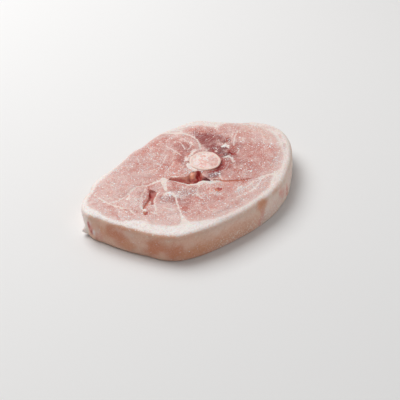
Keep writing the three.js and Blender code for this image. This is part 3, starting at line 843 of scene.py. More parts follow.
def side_profile(rise):
    """How far in from the widest outline, and how high, for 0 at the table to 1 at the face."""
    wall = THICKNESS - TOP_ROUND - BASE_ROUND
    length = wall + (TOP_ROUND + BASE_ROUND) * math.pi / 2
    gone = (1 - rise) * length
    top = np.clip(gone / TOP_ROUND, 0, math.pi / 2)
    base = np.clip((gone - TOP_ROUND * math.pi / 2 - wall) / BASE_ROUND, 0, math.pi / 2)
    inset = TOP_ROUND * (1 - np.sin(top)) + BASE_ROUND * (1 - np.cos(base))
    straight = np.clip(gone - TOP_ROUND * math.pi / 2, 0, wall)
    height = THICKNESS - TOP_ROUND * (1 - np.cos(top)) - straight - BASE_ROUND * np.sin(base)
    return inset, height


def skin_relief(point, along, height):
    """Soft lumps and upright creases of the skin, in millimetres outwards."""
    lumps = 0.25 * np.sin(along / 11 + height / 14) + 0.15 * np.sin(along / 5.2 - height / 6 + 1)
    belly = BELLY * np.sin(math.pi * height / THICKNESS) - BELLY
    dents = sum(
        depth * np.exp(-(np.hypot(point[:, 0] - x, point[:, 1] - y) / width) ** 2)
        for x, y, width, depth in CREASES
    )
    return lumps + belly - dents


def side_push(rise, point, outward, along):
    """How far the side lies outside the outline, for each rise, and its height."""
    inset, height = side_profile(rise)
    corner = np.clip(outward @ CORNER_SIDE, 0, None)
    tuck = CORNER_TUCK * corner ** 7 + END_TUCK * np.clip(outward[:, 0], 0, None) ** 2
    flare = FRONT_FLARE * np.clip(-outward[:, 1], 0, None)
    lean = flare * (0.5 - height / THICKNESS) - tuck * (1 - height / THICKNESS)
    relief = soft_step(0, 1.5, height) * skin_relief(point, along, height)
    return lean + relief - inset, height


# %% Block to slice
TOP, SIDE, UNDER = 1.0, 0.5, 0.0     # which sheet a point of the slice belongs to


def points_of(bm):
    return np.array([vert.co[:] for vert in bm.verts])


def move_points(bm, places):
    for vert, place in zip(bm.verts, places):
        vert.co = place


def lay_out_slice(bm):
    """Moves the block's points to the slice. The faces stay flat at heights 1 and 0 for now."""
    x, y, rise = points_of(bm).T
    u, v = x * np.sqrt(1 - y * y / 2), y * np.sqrt(1 - x * x / 2)
    reach = np.hypot(u, v)
    on_rim = np.maximum(abs(x), abs(y)) > 0.9999
    reach = np.where(on_rim, 1, reach)
    point, outward, along = read_rim(np.arctan2(v, u))
    push, height = side_push(rise, point, outward, along)
    plan = point * reach[:, None] + outward * (push * reach ** 6)[:, None]
    on_side = on_rim & (rise > 0.001) & (rise < 0.999)
    rim_plan = point + outward * side_push(np.ones(len(x)), point, outward, along)[0][:, None]
    scale = cut_face(rim_plan) / THICKNESS
    move_points(bm, np.column_stack([plan, np.where(on_side, height * scale, np.round(rise))]))
    sheet = bm.verts.layers.float.new("sheet")
    for vert, level, side in zip(bm.verts, rise, on_side):
        vert[sheet] = SIDE if side else TOP if level > 0.5 else UNDER
    return sheet


sheet = lay_out_slice(block)
print("slice plan spans", np.round(np.ptp(points_of(block), axis=0), 1))

# %% [markdown]
# ## Finer faces where the meat is torn, and the hole for the bone
#
# The gash, the splits and the crack have steep walls, so the faces there are cut in four. The
# bone goes right through, so the faces over it are deleted on both sides, the border of each
# hole is drawn on to the bone's outline, and one more `bridge_loops` makes the wall of the hole.

# %% Refine and pierce
FINE_MARGIN = 1.4        # millimetres round each opening that get finer faces
LIP_GAP = 0.02           # soft meat closes up to the bone at the cut
EASED_RINGS = 3          # rings of points round the hole that are smoothed
EASED_TIMES = 5


def refine_openings(bm):
    """Cuts the faces of the cut face that lie in or near an opening in four."""
    rough = [edge for edge in bm.edges if all(vert[sheet] == TOP for vert in edge.verts)]
    middles = np.array([((edge.verts[0].co + edge.verts[1].co) / 2).xy for edge in rough])
    near = distance_to_path(middles, curve_through(CRACK, 6))[0] < FINE_MARGIN
    for mouth in tear_mouths.values():
        near |= depth_inside(middles, mouth) > -FINE_MARGIN
    for x, y, length, width, turn, _ in PITS.values():
        roomy = (0.5 * length + FINE_MARGIN, 0.5 * width + FINE_MARGIN)
        near |= oval_reach(middles, x, y, *roomy, turn) < 1
    chosen = [edge for edge, wanted in zip(rough, near) if wanted]
    bmesh.ops.subdivide_edges(bm, edges=chosen, cuts=1, use_grid_fill=True)
    return len(chosen)


def pierce_for_bone(bm):
    """Opens the hole for the bone and gives it a wall."""
    flat = [face for face in bm.faces if all(vert[sheet] != SIDE for vert in face.verts)]
    centres = np.array([face.calc_center_median().xy for face in flat])
    covered = beyond_bone(centres) < GAP
    gone = [face for face, inside in zip(flat, covered) if inside]
    bmesh.ops.delete(bm, geom=gone, context="FACES")
    border = [edge for edge in bm.edges if edge.is_boundary]
    lip = {vert for edge in border for vert in edge.verts}
    for vert in lip:
        offset = np.array(vert.co.xy) - BONE_AT
        angle = math.atan2(offset[1], offset[0])
        reach = float(bone_reach(angle)) + LIP_GAP
        vert.co.xy = BONE_AT + reach * np.array((math.cos(angle), math.sin(angle)))
    ring = lip
    for _ in range(EASED_RINGS):
        ring = ring | {edge.other_vert(vert) for vert in ring for edge in vert.link_edges}
    eased = list(ring - lip)
    for _ in range(EASED_TIMES):
        bmesh.ops.smooth_vert(bm, verts=eased, factor=0.5, use_axis_x=True, use_axis_y=True)
    bmesh.ops.bridge_loops(bm, edges=border)
    return len(border)


cut_edges = refine_openings(block)
hole_edges = pierce_for_bone(block)
print(cut_edges, "edges cut,", hole_edges, "edges round the bone,", len(block.faces), "faces")

# %% [markdown]
# ## Raising the relief
#
# Now the flat faces get their heights. Sawn meat that was half frozen isn't smooth: bundles of
# fibre stand up by a tenth of a millimetre or two, more in the lean than in the fat. The seams
# dip a little. A shred of fat is drawn out of the foot of the -X end.

# %% Relief
LEAN_GRAIN = 0.15        # unevenness of each surface, in millimetres
FAT_GRAIN = 0.1
SKIN_GRAIN = 0.12
UNDER_GRAIN = 0.12
TORN_GRAIN = 0.45
SEAM_DIP = 0.18          # a white seam lies this far under the lean
DIP_WIDTH = 0.8
SHRED_AT = np.array((-110.6, 26.2, 4.2))
SHRED_TIP = np.array((-114.6, 28.8, 4.6))
SHRED_SIZE = 3.4


def raise_relief(bm):
    """Gives every point its height, and returns what the finish has to know about each."""
    places = points_of(bm)
    plan = places[:, :2]
    level = np.array([vert[sheet] for vert in bm.verts])
    top, side = level == TOP, level == SIDE
    fat = -depth_inside(plan, lean_edge)
    lean = soft_step(0.8, -0.8, fat)
    grains = 0.5 * rough_noise(plan, 1.5) + rough_noise(plan, 2.8, 3.5) + 1.4 * rough_noise(plan, 6.0, 1.5)
    grain = (FAT_GRAIN + (LEAN_GRAIN - FAT_GRAIN) * lean) * grains
    gap, white = seam_fields(plan)
    dip = SEAM_DIP * white * np.exp(-(np.clip(gap, 0, None) / DIP_WIDTH) ** 2)
    depth = opening_depth(plan)
    torn = TORN_GRAIN * soft_step(0.5, 3, depth) * rough_noise(plan, 1.4, 7.0)
    face = cut_face(plan) + grain - dip - depth + torn
    under = UNDER_GRAIN * (1 + rough_noise(plan, 4.0, 3.0)) * soft_step(3, 6, rim_room(plan))
    height = np.where(top, face, np.where(side, places[:, 2], under))
    bumps = SKIN_GRAIN * (rough_noise(places, 2.4, 5.0) + 0.9 * rough_noise(places, 6.0, 9.0))
    _, outward, _ = read_rim(np.arctan2(plan[:, 1], plan[:, 0]))
    plan = plan + outward * (bumps * side)[:, None]
    moved = np.column_stack([plan, height])
    pull = np.exp(-(np.linalg.norm(moved - SHRED_AT, axis=1) / SHRED_SIZE) ** 2) * side
    moved += (SHRED_TIP - SHRED_AT) * pull[:, None]
    move_points(bm, moved)
    return {
        "fat": np.clip(fat, -12, 12),
        "seam": np.where(side, 6, np.clip(gap, -4, 6)),
        "white": white,
        "depth": np.where(top, depth, 0),
        "raw": np.where(side, 0, raw_and_shade_amount(plan)),
    }


fields = raise_relief(block)
heights = points_of(block)[:, 2]
print("the heights go from", np.round(heights.min(), 2), "to", np.round(heights.max(), 2), "mm")

# %% [markdown]
# ## Tones
#
# The lean isn't one pink. Blood, fat and frost make each muscle paler, redder or greyer. The
# tones below are named as a painter would name them, and laid one over another in soft ovals.
# The result is kept on the mesh as a colour attribute, which a material can read. The skin and
# the fat outside the lean have their own tones in the same way.

# %% Tones of the lean
TONES = {
    "rose": (211, 163, 155),
    "pink": (213, 150, 139),
    "pale": (223, 190, 183),
    "chalky": (227, 206, 201),
    "deep": (194, 124, 115),
    "salmon": (212, 142, 130),
    "peach": (224, 182, 166),
    "purple": (150, 74, 72),
    "wine": (114, 44, 45),
    "dusk": (136, 82, 86),
    "grey": (186, 142, 137),
    "sunken": (166, 104, 98),
}
FACE_LIGHT = 0.97        # how brightly the cut face is lit, which the tones are corrected for

# tone, x, y, half length, half width, turn, how strongly it covers
LEAN_PATCHES = [
    ("pale", -62, 36, 44, 20, 0.14, 0.7),
    ("rose", -40, 46, 26, 12, -0.3, 0.7),
    ("pale", -95, 18, 10, 26, 0, 0.6),
    ("chalky", -76, 6, 19, 9, 0.5, 0.5),
    ("pale", -62, -27, 13, 16, 0.3, 0.85),
    ("chalky", -66, -38, 9, 8, 0.3, 0.5),
    ("pale", -80, -30, 9, 13, 0.3, 0.7),
    ("chalky", -97, 2, 8, 12, 0.3, 0.6),
    ("pale", -84, -11, 9, 7, 0.5, 0.7),
    ("chalky", -98, 34, 7, 10, -0.3, 0.4),
    ("grey", -58, 8, 6, 6, 0.6, 0.3),
    ("sunken", -52, -12, 9, 7, 0.4, 0.8),
    ("grey", -38, -13, 9, 9, -0.3, 0.8),
    ("grey", -28, -22, 10, 8, -0.3, 0.85),
    ("deep", -30, -2, 6, 9, -0.5, 1),
    ("deep", -42, -28, 12, 8, -0.3, 0.7),
    ("salmon", -37, 1, 5, 5, 0, 0.6),
    ("deep", -54, -37, 8, 7, 0.6, 0.85),
    ("sunken", -46, -17, 8, 7, -0.3, 0.75),
    ("grey", -44, -28, 7, 6, 0, 0.5),
    ("deep", -60, 6, 10, 8, 0.6, 0.35),
    ("deep", -24, -42, 22, 9, -0.2, 0.35),
    ("pale", -38, -57, 28, 6.5, -0.15, 0.75),
    ("pale", -6, -58, 26, 9, 0, 0.6),
    ("chalky", 20, -57, 22, 8, 0.05, 0.3),
    ("chalky", 12, -49, 14, 5, 0.05, 0.4),
    ("salmon", -13, -30, 6, 5, 0, 0.9),
    ("pink", -14, 20, 18, 15, 0, 1),
    ("salmon", -20, 26, 9, 7, 0.3, 0.9),
    ("deep", -17, 27, 11, 7, 0.2, 0.5),
    ("rose", -8, 48, 20, 14, 0, 0.5),
    ("salmon", 4, 62, 22, 5, 0.1, 0.7),
    ("pink", 4, 67, 24, 4, 0.03, 0.5),
    ("rose", 27, 50, 14, 11, 0, 0.6),
    ("deep", 21, 37, 9, 12, 0.3, 1),
    ("deep", 8, 27, 14, 6, 0.3, 0.85),
    ("sunken", 2, 16, 5, 8, -0.5, 0.8),
    ("sunken", 18, 30, 10, 5, 0.2, 0.5),
    ("deep", -26, 46, 6, 5, 0, 0.5),
    ("deep", -36, 41, 6, 6, 0, 0.4),
    ("salmon", 13, 24, 6, 4, 0.3, 0.6),
    ("purple", 51, 36, 13, 18, -0.4, 1),
    ("purple", 46, 33, 7, 12, -0.2, 0.7),
    ("salmon", 50, 56.5, 11, 4, -0.1, 0.85),
    ("salmon", 60, 46, 9, 8, 0, 0.7),
    ("salmon", 68, 36, 9, 7, 0, 0.4),
    ("purple", 40, 14, 9, 14, 0, 1),
    ("wine", 60, 16, 8, 3.5, 0.4, 0.65),
    ("wine", 37, 4, 4.5, 7, 0, 0.9),
    ("wine", 31, -8, 5, 6, 0, 0.7),
    ("purple", 52, 0, 13, 8, 0.4, 0.85),
    ("wine", 41, -6, 6, 8, 0, 0.6),
    ("purple", 58, 24, 8, 9, 0, 0.6),
    ("wine", 45, 6, 5, 4, 0, 0.8),
    ("sunken", 8, -17, 9, 3, 0, 0.5),
    ("dusk", 8, -15, 11, 6, 0, 1),
    ("purple", 26, -13, 10, 6, 0.4, 0.9),
    ("sunken", 32, -20, 12, 8, -0.2, 0.7),
    ("deep", 30, -29, 22, 9, -0.3, 0.7),
    ("deep", 17, -38, 9, 6, -0.6, 0.6),
    ("deep", 60, -12, 26, 16, 0.2, 0.5),
    ("deep", 50, -34, 22, 10, 0.3, 0.35),
    ("pale", 96, 10, 11, 24, 0, 0.7),
    ("peach", 98, 14, 10, 16, 0.2, 0.7),
    ("peach", 90, -12, 9, 13, -0.5, 0.6),
    ("pale", 82, 26, 12, 9, 0.4, 0.5),
    ("pale", 88, -20, 9, 13, -0.6, 0.6),
    ("pale", 66, -43, 14, 5, 0.5, 0.5),
    ("pale", 81, -6, 9, 9, 0, 0.5),
    ("salmon", 74, -24, 9, 8, -0.4, 0.4),
    ("pale", -8, -26, 8, 4, -0.5, 0.5),
    ("wine", 36.5, 2, 5, 8, 0, 1),
    ("wine", 58, 16, 6, 4, 0.4, 0.5),
    ("sunken", 22, 38, 8, 9, 0.3, 0.6),
    ("sunken", 6, 25, 8, 5, 0.3, 0.5),
    ("sunken", -35, -20, 6, 5, 0, 0.4),
    ("rose", -98, 10, 6, 12, 0, 0.7),
]

# %% Tones inside the openings
TORN_TONES = {
    "flesh": (208, 138, 122),
    "orange": (230, 152, 122),
    # painted highlight: the top of the raised strands in the gash, where it catches the light
    "strand highlight": (246, 190, 166),
    "maroon": (170, 72, 64),
    # the next three tones are blood reds deepened as painted shade, laid where the walls of the openings
    # shade them
    "shaded blood": (166, 44, 44),
    "dark": (104, 22, 26),
    "shaded purple red": (172, 96, 92),
}
# tone, x, y, half length, half width, turn, how strongly it covers
TORN_PATCHES = [
    ("maroon", -22, 3.5, 8, 3, -0.85, 0.9),
    # the darkest reds below paint the shade at the foot of the near wall, in the deep tip and in the other
    # openings, over the meat's own red
    ("shaded blood", -18.6, -8, 7.4, 2.6, -0.85, 0.9),
    ("orange", -14.5, 1.2, 3.5, 2.2, -0.78, 0.4),
    ("orange", -7.6, -0.8, 4, 2.8, 0.8, 0.95),
    # painted highlight on the raised strands
    ("strand highlight", -6.8, 0.8, 2.6, 1.8, 0.8, 0.9),
    ("maroon", -10.6, -5, 5, 2.6, -0.78, 0.95),
    ("shaded blood", -15.4, -7.2, 6.4, 1.8, -0.88, 0.95),
    ("shaded blood", -10, -10, 4, 2.2, 0, 0.95),
    ("shaded blood", -3.6, -5.4, 7.4, 2.8, 0.8, 1),
    ("maroon", -2.5, -10.5, 3, 2.2, -0.9, 0.7),
    ("dark", -3.8, -16.8, 7, 5.2, -1.2, 1),
    ("shaded purple red", -54, 4, 9, 5, 0.8, 0.8),
    ("shaded blood", -55.4, 4.2, 3.6, 2, 0.8, 1),
    ("shaded purple red", -63, -5, 6, 4, 0.8, 0.7),
    ("orange", -77.4, -11.6, 2, 2, 0, 0.8),
    ("shaded blood", -78, -14.8, 3, 2, 0.3, 0.8),
    ("orange", -11.6, -34.6, 3, 3, 0, 0.8),
    ("shaded blood", -7, -35.4, 2.6, 3, 0.3, 0.8),
    ("shaded blood", 43.4, -3.4, 5, 3, 1.7, 1),
    ("orange", 12, -35, 20, 8, -0.6, 0.75),
]

# %% Tones of the fat and the skin
OUTER_TONES = {
    "fat": (246, 234, 229),
    "pinkish fat": (238, 212, 198),
    # lighter skin near the top of the side: painted light from above, and partly the skin paling into the fat
    "top-lit skin": (238, 214, 200),
    "skin": (236, 194, 172),
    "tanned": (222, 158, 124),
    "brown": (214, 138, 104),
    "rosy": (224, 156, 142),
    "raw": (196, 104, 94),
    "frosted": (236, 212, 200),
}
# tone, x, y, z, half length, half height, how strongly it covers
SKIN_PATCHES = [
    ("tanned", -106, -16, 24, 15, 3, 0.6),
    ("tanned", -92, -48, 25, 16, 4, 0.5),
    ("tanned", -112, 4, 14, 9, 8, 0.6),
    ("rosy", -108, -8, 19, 14, 4, 0.3),
    ("brown", -110, -3, 17, 6, 7, 0.7),
    ("brown", -107, -11, 13, 8, 8, 0.85),
    ("tanned", -105, -19, 8, 8, 6, 0.8),
    ("brown", -98, -38, 7, 8, 5, 0.7),
    ("brown", -95, -44, 14, 11, 8, 0.8),
    ("brown", -86, -56, 10, 11, 9, 0.85),
    ("brown", -97, -40, 12, 7, 8, 0.5),
    ("tanned", -70, -65, 7, 13, 6, 0.8),
    ("fat", -113.5, 25, 16, 6, 11, 0.85),
    ("fat", -112.5, 27, 4, 6, 7, 1),
    ("frosted", -113, 10, 11, 3, 6, 0.5),
    ("fat", -108, 37, 18, 14, 16, 1),
    ("rosy", -114.6, 18, 13, 4, 6, 0.9),
    ("raw", -114.8, 19.6, 15, 2, 4, 0.9),
    ("raw", -114.4, 16.6, 9, 1.8, 3.4, 0.9),
    ("raw", -113.4, 12.4, 3, 2.4, 2.4, 0.8),
    ("fat", -114, 14, 9.4, 1.7, 4, 0.9),
    ("fat", -114.6, 17.4, 18, 1.6, 3, 0.8),
    ("fat", -113, 9.6, 11, 1.3, 2.4, 0.7),
    ("frosted", -105, -20, 20, 5, 4, 0.3),
    ("rosy", -112.6, 9, 7, 5, 6, 0.4),
    ("tanned", -60, -69, 8, 22, 9, 0.6),
    ("tanned", -28, -75, 10, 24, 10, 0.4),
    ("tanned", 4, -75, 21.5, 9, 4.4, 0.95),
    ("tanned", 4, -76, 17, 5, 6, 0.6),
    ("rosy", 4, -76, 11, 3.4, 8, 0.6),
    ("rosy", -1, -76, 5, 3, 5, 0.7),
    ("frosted", 13, -76, 17, 5, 8, 0.3),
    ("tanned", 27, -73, 24, 7, 4, 0.7),
    ("rosy", 34, -71, 19, 5, 6, 0.6),
    ("rosy", 50, -66, 10, 4, 8, 0.9),
    ("rosy", 38, -70, 14, 8, 6, 0.5),
    ("frosted", 66, -58, 14, 14, 12, 0.8),
    # lighter near the top of the front: painted light from above, and partly the skin paling into the fat
    ("top-lit skin", 40, -70, 22, 30, 4, 0.6),
]


# %% Laying the tones
def light_of(tones, level=1.0):
    """Named tones as linear light, made up for how brightly the surface is lit."""
    return {name: np.array(tint(*colour)) / level for name, colour in tones.items()}


def lay(colour, over, weight):
    """The over colour laid on another, by a weight for each point."""
    return colour * (1 - weight[:, None]) + over * weight[:, None]


def lay_patches(tones, first, patches, spots, sharpness=(0.45, 1.3)):
    """One tone all over, and soft ovals of other tones laid over it one by one."""
    colour = np.tile(tones[first], (len(spots), 1))
    for name, x, y, rx, ry, turn, amount in patches:
        weight = amount * (1 - soft_step(*sharpness, oval_reach(spots, x, y, rx, ry, turn)))
        colour = lay(colour, tones[name], weight)
    return colour


def lean_tones(plan):
    wander = np.stack([rough_noise(plan, 7, 1.0), rough_noise(plan, 7, 2.0)], axis=1)
    return lay_patches(light_of(TONES, FACE_LIGHT), "rose", LEAN_PATCHES, plan + 3.0 * wander)


def torn_tones(plan):
    wander = np.stack([rough_noise(plan, 2, 5.0), rough_noise(plan, 2, 6.0)], axis=1)
    return lay_patches(light_of(TORN_TONES), "flesh", TORN_PATCHES, plan + 0.8 * wander, (0.5, 1.2))


def outer_tones(places):
    """Skin round the -X end and the front, pinkish fat elsewhere."""
    tones = light_of(OUTER_TONES)
    x, y, z = places.T
    wander = 2.5 * rough_noise(places, 6, 4.0)
    crease = -2.4 + 0.68 * (z - 2)
    skinned = (1 - soft_step(crease - 3, crease + 3, x + wander)) * (1 - soft_step(20, 30, y + wander))
    colour = np.tile(tones["pinkish fat"], (len(places), 1))
    colour = lay(colour, tones["skin"], skinned)
    # lighter towards the top of the side, except at the -X end: painted light from above, and partly the skin
    # paling into the fat
    colour = lay(colour, tones["top-lit skin"], 0.6 * soft_step(9, 23, z) * soft_step(-75, -45, x))
    for name, px, py, pz, half, tall, amount in SKIN_PATCHES:
        across = np.hypot(x - px, y - py) / half
        reach = np.hypot(across, (z - pz) / tall) + 0.12 * wander
        colour = lay(colour, tones[name], amount * (1 - soft_step(0.35, 1.3, reach)))
    return colour


# %% Frost
# Where frost gathers: x, y, half length, half width, turn, amount
FROST_PATCHES = [
    (-34, -17, 14, 10, -0.3, 0.85), (-50, -11, 9, 7, 0.4, 0.85), (-43, -8, 5, 5, 0, 0.85),
    (8, -16, 9, 5, 0, 0.7), (27, -13, 9, 5, 0.4, 0.6), (50, 10, 5, 4, 0, 1), (36, -8, 5, 5, 0, 0.6),
    (42, 14, 6, 7, 0, 0.3), (26, -54, 22, 7, 0.2, 0.5), (4, -50, 12, 6, 0.1, 0.7),
    (60, -44, 20, 5, 0.4, 0.45), (35, -32, 14, 8, 0.3, 0.45), (70, 6, 12, 12, 0.4, 0.55),
    (52, -3, 8, 6, 0, 0.5), (97, 12, 7, 22, 0, 0.5), (80, -20, 14, 12, -0.6, 0.45),
    (-12, 42, 22, 22, 0, 0.35), (-22, 22, 18, 16, 0, 0.4), (-6, 6, 12, 9, 0, 0.5),
    (-76, 2, 18, 9, 0.5, 0.5), (-96, -6, 6, 8, 0.3, 0.7), (-52, 53, 12, 5, 0.1, 0.5),
    (-60, -38, 10, 8, 0.2, 0.5), (-22, -36, 18, 9, -0.2, 0.4), (-6, -22, 10, 4, -0.5, 0.6),
    (60, 30, 5, 8, 0, 0.3),
]
FROST_FREE = [(47, 32, 12, 15, -0.4), (40, 10, 10, 14, 0), (21, 37, 9, 12, 0.3), (-14, 26, 14, 8, 0)]
FROST_EVERYWHERE = 0.21


def frost_amount(plan):
    """How much frost lies at each place, from 0 to 1."""
    amount = np.full(len(plan), FROST_EVERYWHERE)
    for x, y, rx, ry, turn in FROST_FREE:
        amount *= soft_step(0.5, 1.2, oval_reach(plan, x, y, rx, ry, turn))
    for x, y, rx, ry, turn, much in FROST_PATCHES:
        here = much * (1 - soft_step(0.3, 1.25, oval_reach(plan, x, y, rx, ry, turn)))
        amount = np.maximum(amount, here)
    return amount


# %% [markdown]
# ## Finishing the mesh
#
# The bmesh becomes a mesh, in metres, and the distances and tones are written on its points.

# %% Mesh helpers
def keep_values(mesh, name, values):
    """Writes one number, or one colour, for every point of a mesh."""
    values = np.asarray(values, np.float32)
    kind = "FLOAT" if values.ndim == 1 else "FLOAT_COLOR"
    layer = mesh.attributes.new(name, kind, "POINT")
    layer.data.foreach_set("value" if kind == "FLOAT" else "color", values.ravel())


def finish_piece(bm, name, node, finish):
    """A bmesh in millimetres as a smooth object in metres that stands for a CAD node."""
    bmesh.ops.recalc_face_normals(bm, faces=bm.faces)
    bmesh.ops.scale(bm, vec=(MM, MM, MM), verts=bm.verts)
    mesh = bpy.data.meshes.new(name)
    bm.to_mesh(mesh)
    bm.free()
    mesh.shade_smooth()
    mesh.materials.append(finish)
    piece = bpy.data.objects.new(name, mesh)
    bpy.context.scene.collection.objects.link(piece)
    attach(piece, "root")
    if node:
        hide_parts(node)
    return piece


def mesh_points_mm(mesh):
    """The points of a finished mesh, back in millimetres."""
    flat = np.empty(3 * len(mesh.vertices), np.float32)
    mesh.vertices.foreach_get("co", flat)
    return flat.reshape(-1, 3) / MM


# %% [markdown]
# ## The finish of the meat
#
# One material covers the whole slice, because lean, seams, fat and skin grow into each other.
# It reads the tones and distances, breaks every border with noise so that none is a clean
# curve, and adds what is too small for the mesh: bundles of fibre, grain and frost.

# %% Colour of the lean
BLOODY = (0.9, 0.68, 0.64, 1)       # what darker meat does to the colour under it


def lean_colour(tree, where, medium, fine):
    """The painted tones, with blood, fibres and threads of fat worked into them."""
    lean = attribute(tree, "lean_tone", "Color")
    paleness = box(tree, "SeparateColor", {"Color": lean}).outputs["Green"]
    light = ramp(tree, paleness, 0.03, 0.3, 0.15, 1)
    coarse = mottle(tree, where, 9, 4)
    broad = mottle(tree, where, 16, 2)

    # blotches of four sizes, some darker with blood, and some paler, but less so in dark meat
    lean = lay_over(tree, lean, tint(212, 136, 120), broad, 0.5, 0.7, 0.3)
    lean = lay_over(tree, lean, tint(206, 176, 174), broad, 0.5, 0.3, 0.3, kept=light)
    lean = lay_over(tree, lean, BLOODY, coarse, 0.5, 0.3, 0.75, "MULTIPLY")
    lean = lay_over(tree, lean, tint(234, 206, 199), coarse, 0.52, 0.72, 0.4, kept=light)
    lean = lay_over(tree, lean, BLOODY, medium, 0.53, 0.66, 0.55, "MULTIPLY")
    lean = lay_over(tree, lean, tint(238, 212, 205), medium, 0.46, 0.3, 0.3, kept=light)
    bloodier = ramp(tree, broad, 0.35, 0.65, 0.5, 1)
    fattier = times(tree, light, ramp(tree, coarse, 0.35, 0.6, 0.4, 1))
    lean = lay_over(tree, lean, BLOODY, fine, 0.52, 0.62, 0.8, "MULTIPLY", bloodier)
    lean = lay_over(tree, lean, tint(243, 222, 214), fine, 0.46, 0.36, 0.6, kept=fattier)

    # long fibres, which show most in the muscle of the +X end
    turned = box(tree, "Mapping", {"Vector": where, "Rotation": (0, 0, -0.55), "Scale": (0.12, 0.9, 0.3)})
    fibres = mottle(tree, turned.outputs["Vector"], 1, 3)
    lengthways = ramp(tree, along_axis(tree, where, "X"), 20, 50, 0.15, 0.45)
    lean = lay_over(tree, lean, tint(238, 208, 200), fibres, 0.54, 0.7, kept=lengthways)

    # threads of fat wander through the lean, and come and go
    off_thread = maths(tree, "ABSOLUTE", maths(tree, "SUBTRACT", mottle(tree, where, 12, 2), 0.5))
    come_and_go = ramp(tree, coarse, 0.48, 0.62, 0, 0.5)
    return lay_over(tree, lean, tint(243, 226, 220), off_thread, 0.014, 0.003, kept=come_and_go)


# %% Colour of the fat and the skin
FLUSHED = (0.9, 0.72, 0.66, 1)       # what blood under the skin does to its colour
PITTED = (0.84, 0.72, 0.68, 1)       # and what small pits do


def outer_colour(tree, where, medium, fine, rough):
    """The skin's tones, and over them the white rim of fat, down to a fairly sharp, uneven line."""
    across, height = along_axis(tree, where, "X"), along_axis(tree, where, "Z")
    on_rim = ramp(tree, maths(tree, "ADD", height, times(tree, rough, 2.4)), 23.9, 25.0)
    rim = lay_over(tree, tint(245, 237, 233), tint(241, 227, 221), across, -75, -35)
    outer = blend_colours(tree, on_rim, attribute(tree, "outer_tone", "Color"), rim)
    outer = lay_over(tree, outer, FLUSHED, medium, 0.48, 0.7, 0.28, "MULTIPLY")

    # specks, which show most on the rim and low down on the right of the front
    low_right = times(tree, ramp(tree, across, -75, -40), ramp(tree, height, 17, 5))
    specked = maths(tree, "MAXIMUM", low_right, on_rim)
    white, dark = (ramp(tree, specked, 0, 1, least, 0.9) for least in (0.2, 0.3))
    outer = lay_over(tree, outer, tint(248, 241, 237), fine, 0.44, 0.34, 0.7, kept=white)
    return lay_over(tree, outer, PITTED, fine, 0.53, 0.64, 0.6, "MULTIPLY", dark)


# %% Colour of the cut face
def cut_colour(tree, where, medium, fine, depth, raw):
    """Lean and fat, then the white seams, the raw lines and the insides of the openings."""
    rough = maths(tree, "SUBTRACT", maths(tree, "ADD", medium, times(tree, fine, 0.5)), 0.75)
    lean = lean_colour(tree, where, medium, fine)
    outer = outer_colour(tree, where, medium, fine, rough)

    # the lean fades into the fat along a ragged line, wider at the +X end
    raggedness = ramp(tree, along_axis(tree, where, "X"), 60, 100, 1, 1.8)
    ragged = times(tree, rough, times(tree, raggedness, 3.4))
    ragged = maths(tree, "ADD", ragged, times(tree, maths(tree, "SUBTRACT", fine, 0.5), 4))
    fat_edge = maths(tree, "ADD", attribute(tree, "fat"), ragged)
    lean = lay_over(tree, lean, tint(231, 204, 197), fat_edge, -7, 0.6, 0.5)
    colour = lay_over(tree, lean, outer, fat_edge, -0.6, 1.6)

    seam_edge = maths(tree, "MULTIPLY_ADD", rough, 1.8, attribute(tree, "seam"))
    patchy = times(tree, attribute(tree, "white"), ramp(tree, medium, 0.66, 0.5, 0.72, 1))
    colour = lay_over(tree, colour, tint(240, 225, 217), seam_edge, 0.8, -0.3, kept=patchy)

    # deep red where the raw lines are strongest; some of these lines are painted shade and shadow
    red = lay_over(tree, tint(196, 104, 90), tint(146, 42, 42), raw, 0.5, 0.95)
    colour = blend_colours(tree, times(tree, raw, 0.95), colour, red)

    torn = attribute(tree, "torn_tone", "Color")
    torn = lay_over(tree, torn, BLOODY, medium, 0.5, 0.68, 0.45, "MULTIPLY")
    torn = lay_over(tree, torn, tint(238, 200, 186), fine, 0.42, 0.3, 0.25)
    return lay_over(tree, colour, torn, depth, 0.03, 0.5)


# %% Frost in the surface
def frost_cover(tree, where, depth, raw):
    """Where frost whitens the surface: broken flecks, and rounder specks between them."""
    frost = attribute(tree, "frost")
    needed = maths(tree, "MULTIPLY_ADD", frost, -0.15, 0.7)
    fleck = ramp(tree, maths(tree, "SUBTRACT", mottle(tree, where, 1.3, 2), needed), -0.01, 0.03, 0, 0.8)
    cells = box(tree, "TexVoronoi", {"Vector": where, "Scale": 0.36})
    chance = box(tree, "SeparateColor", {"Color": cells.outputs["Color"]}).outputs["Red"]
    size = times(tree, maths(tree, "ADD", frost, 0.45), ramp(tree, chance, 0.56, 1.0, 0, 0.42))
    speck = ramp(tree, maths(tree, "SUBTRACT", cells.outputs["Distance"], size), 0.03, -0.05, 0, 0.95)

    # none in the openings, and less on raw meat, on the painted shade lines, and low on the side
    bare = times(tree, ramp(tree, depth, 0.4, 0.05), ramp(tree, raw, 0.9, 0.3, 0.3, 1))
    bare = times(tree, bare, ramp(tree, along_axis(tree, where, "Z"), 22, 25, 0.3, 1))
    return times(tree, maths(tree, "MAXIMUM", fleck, speck), bare)


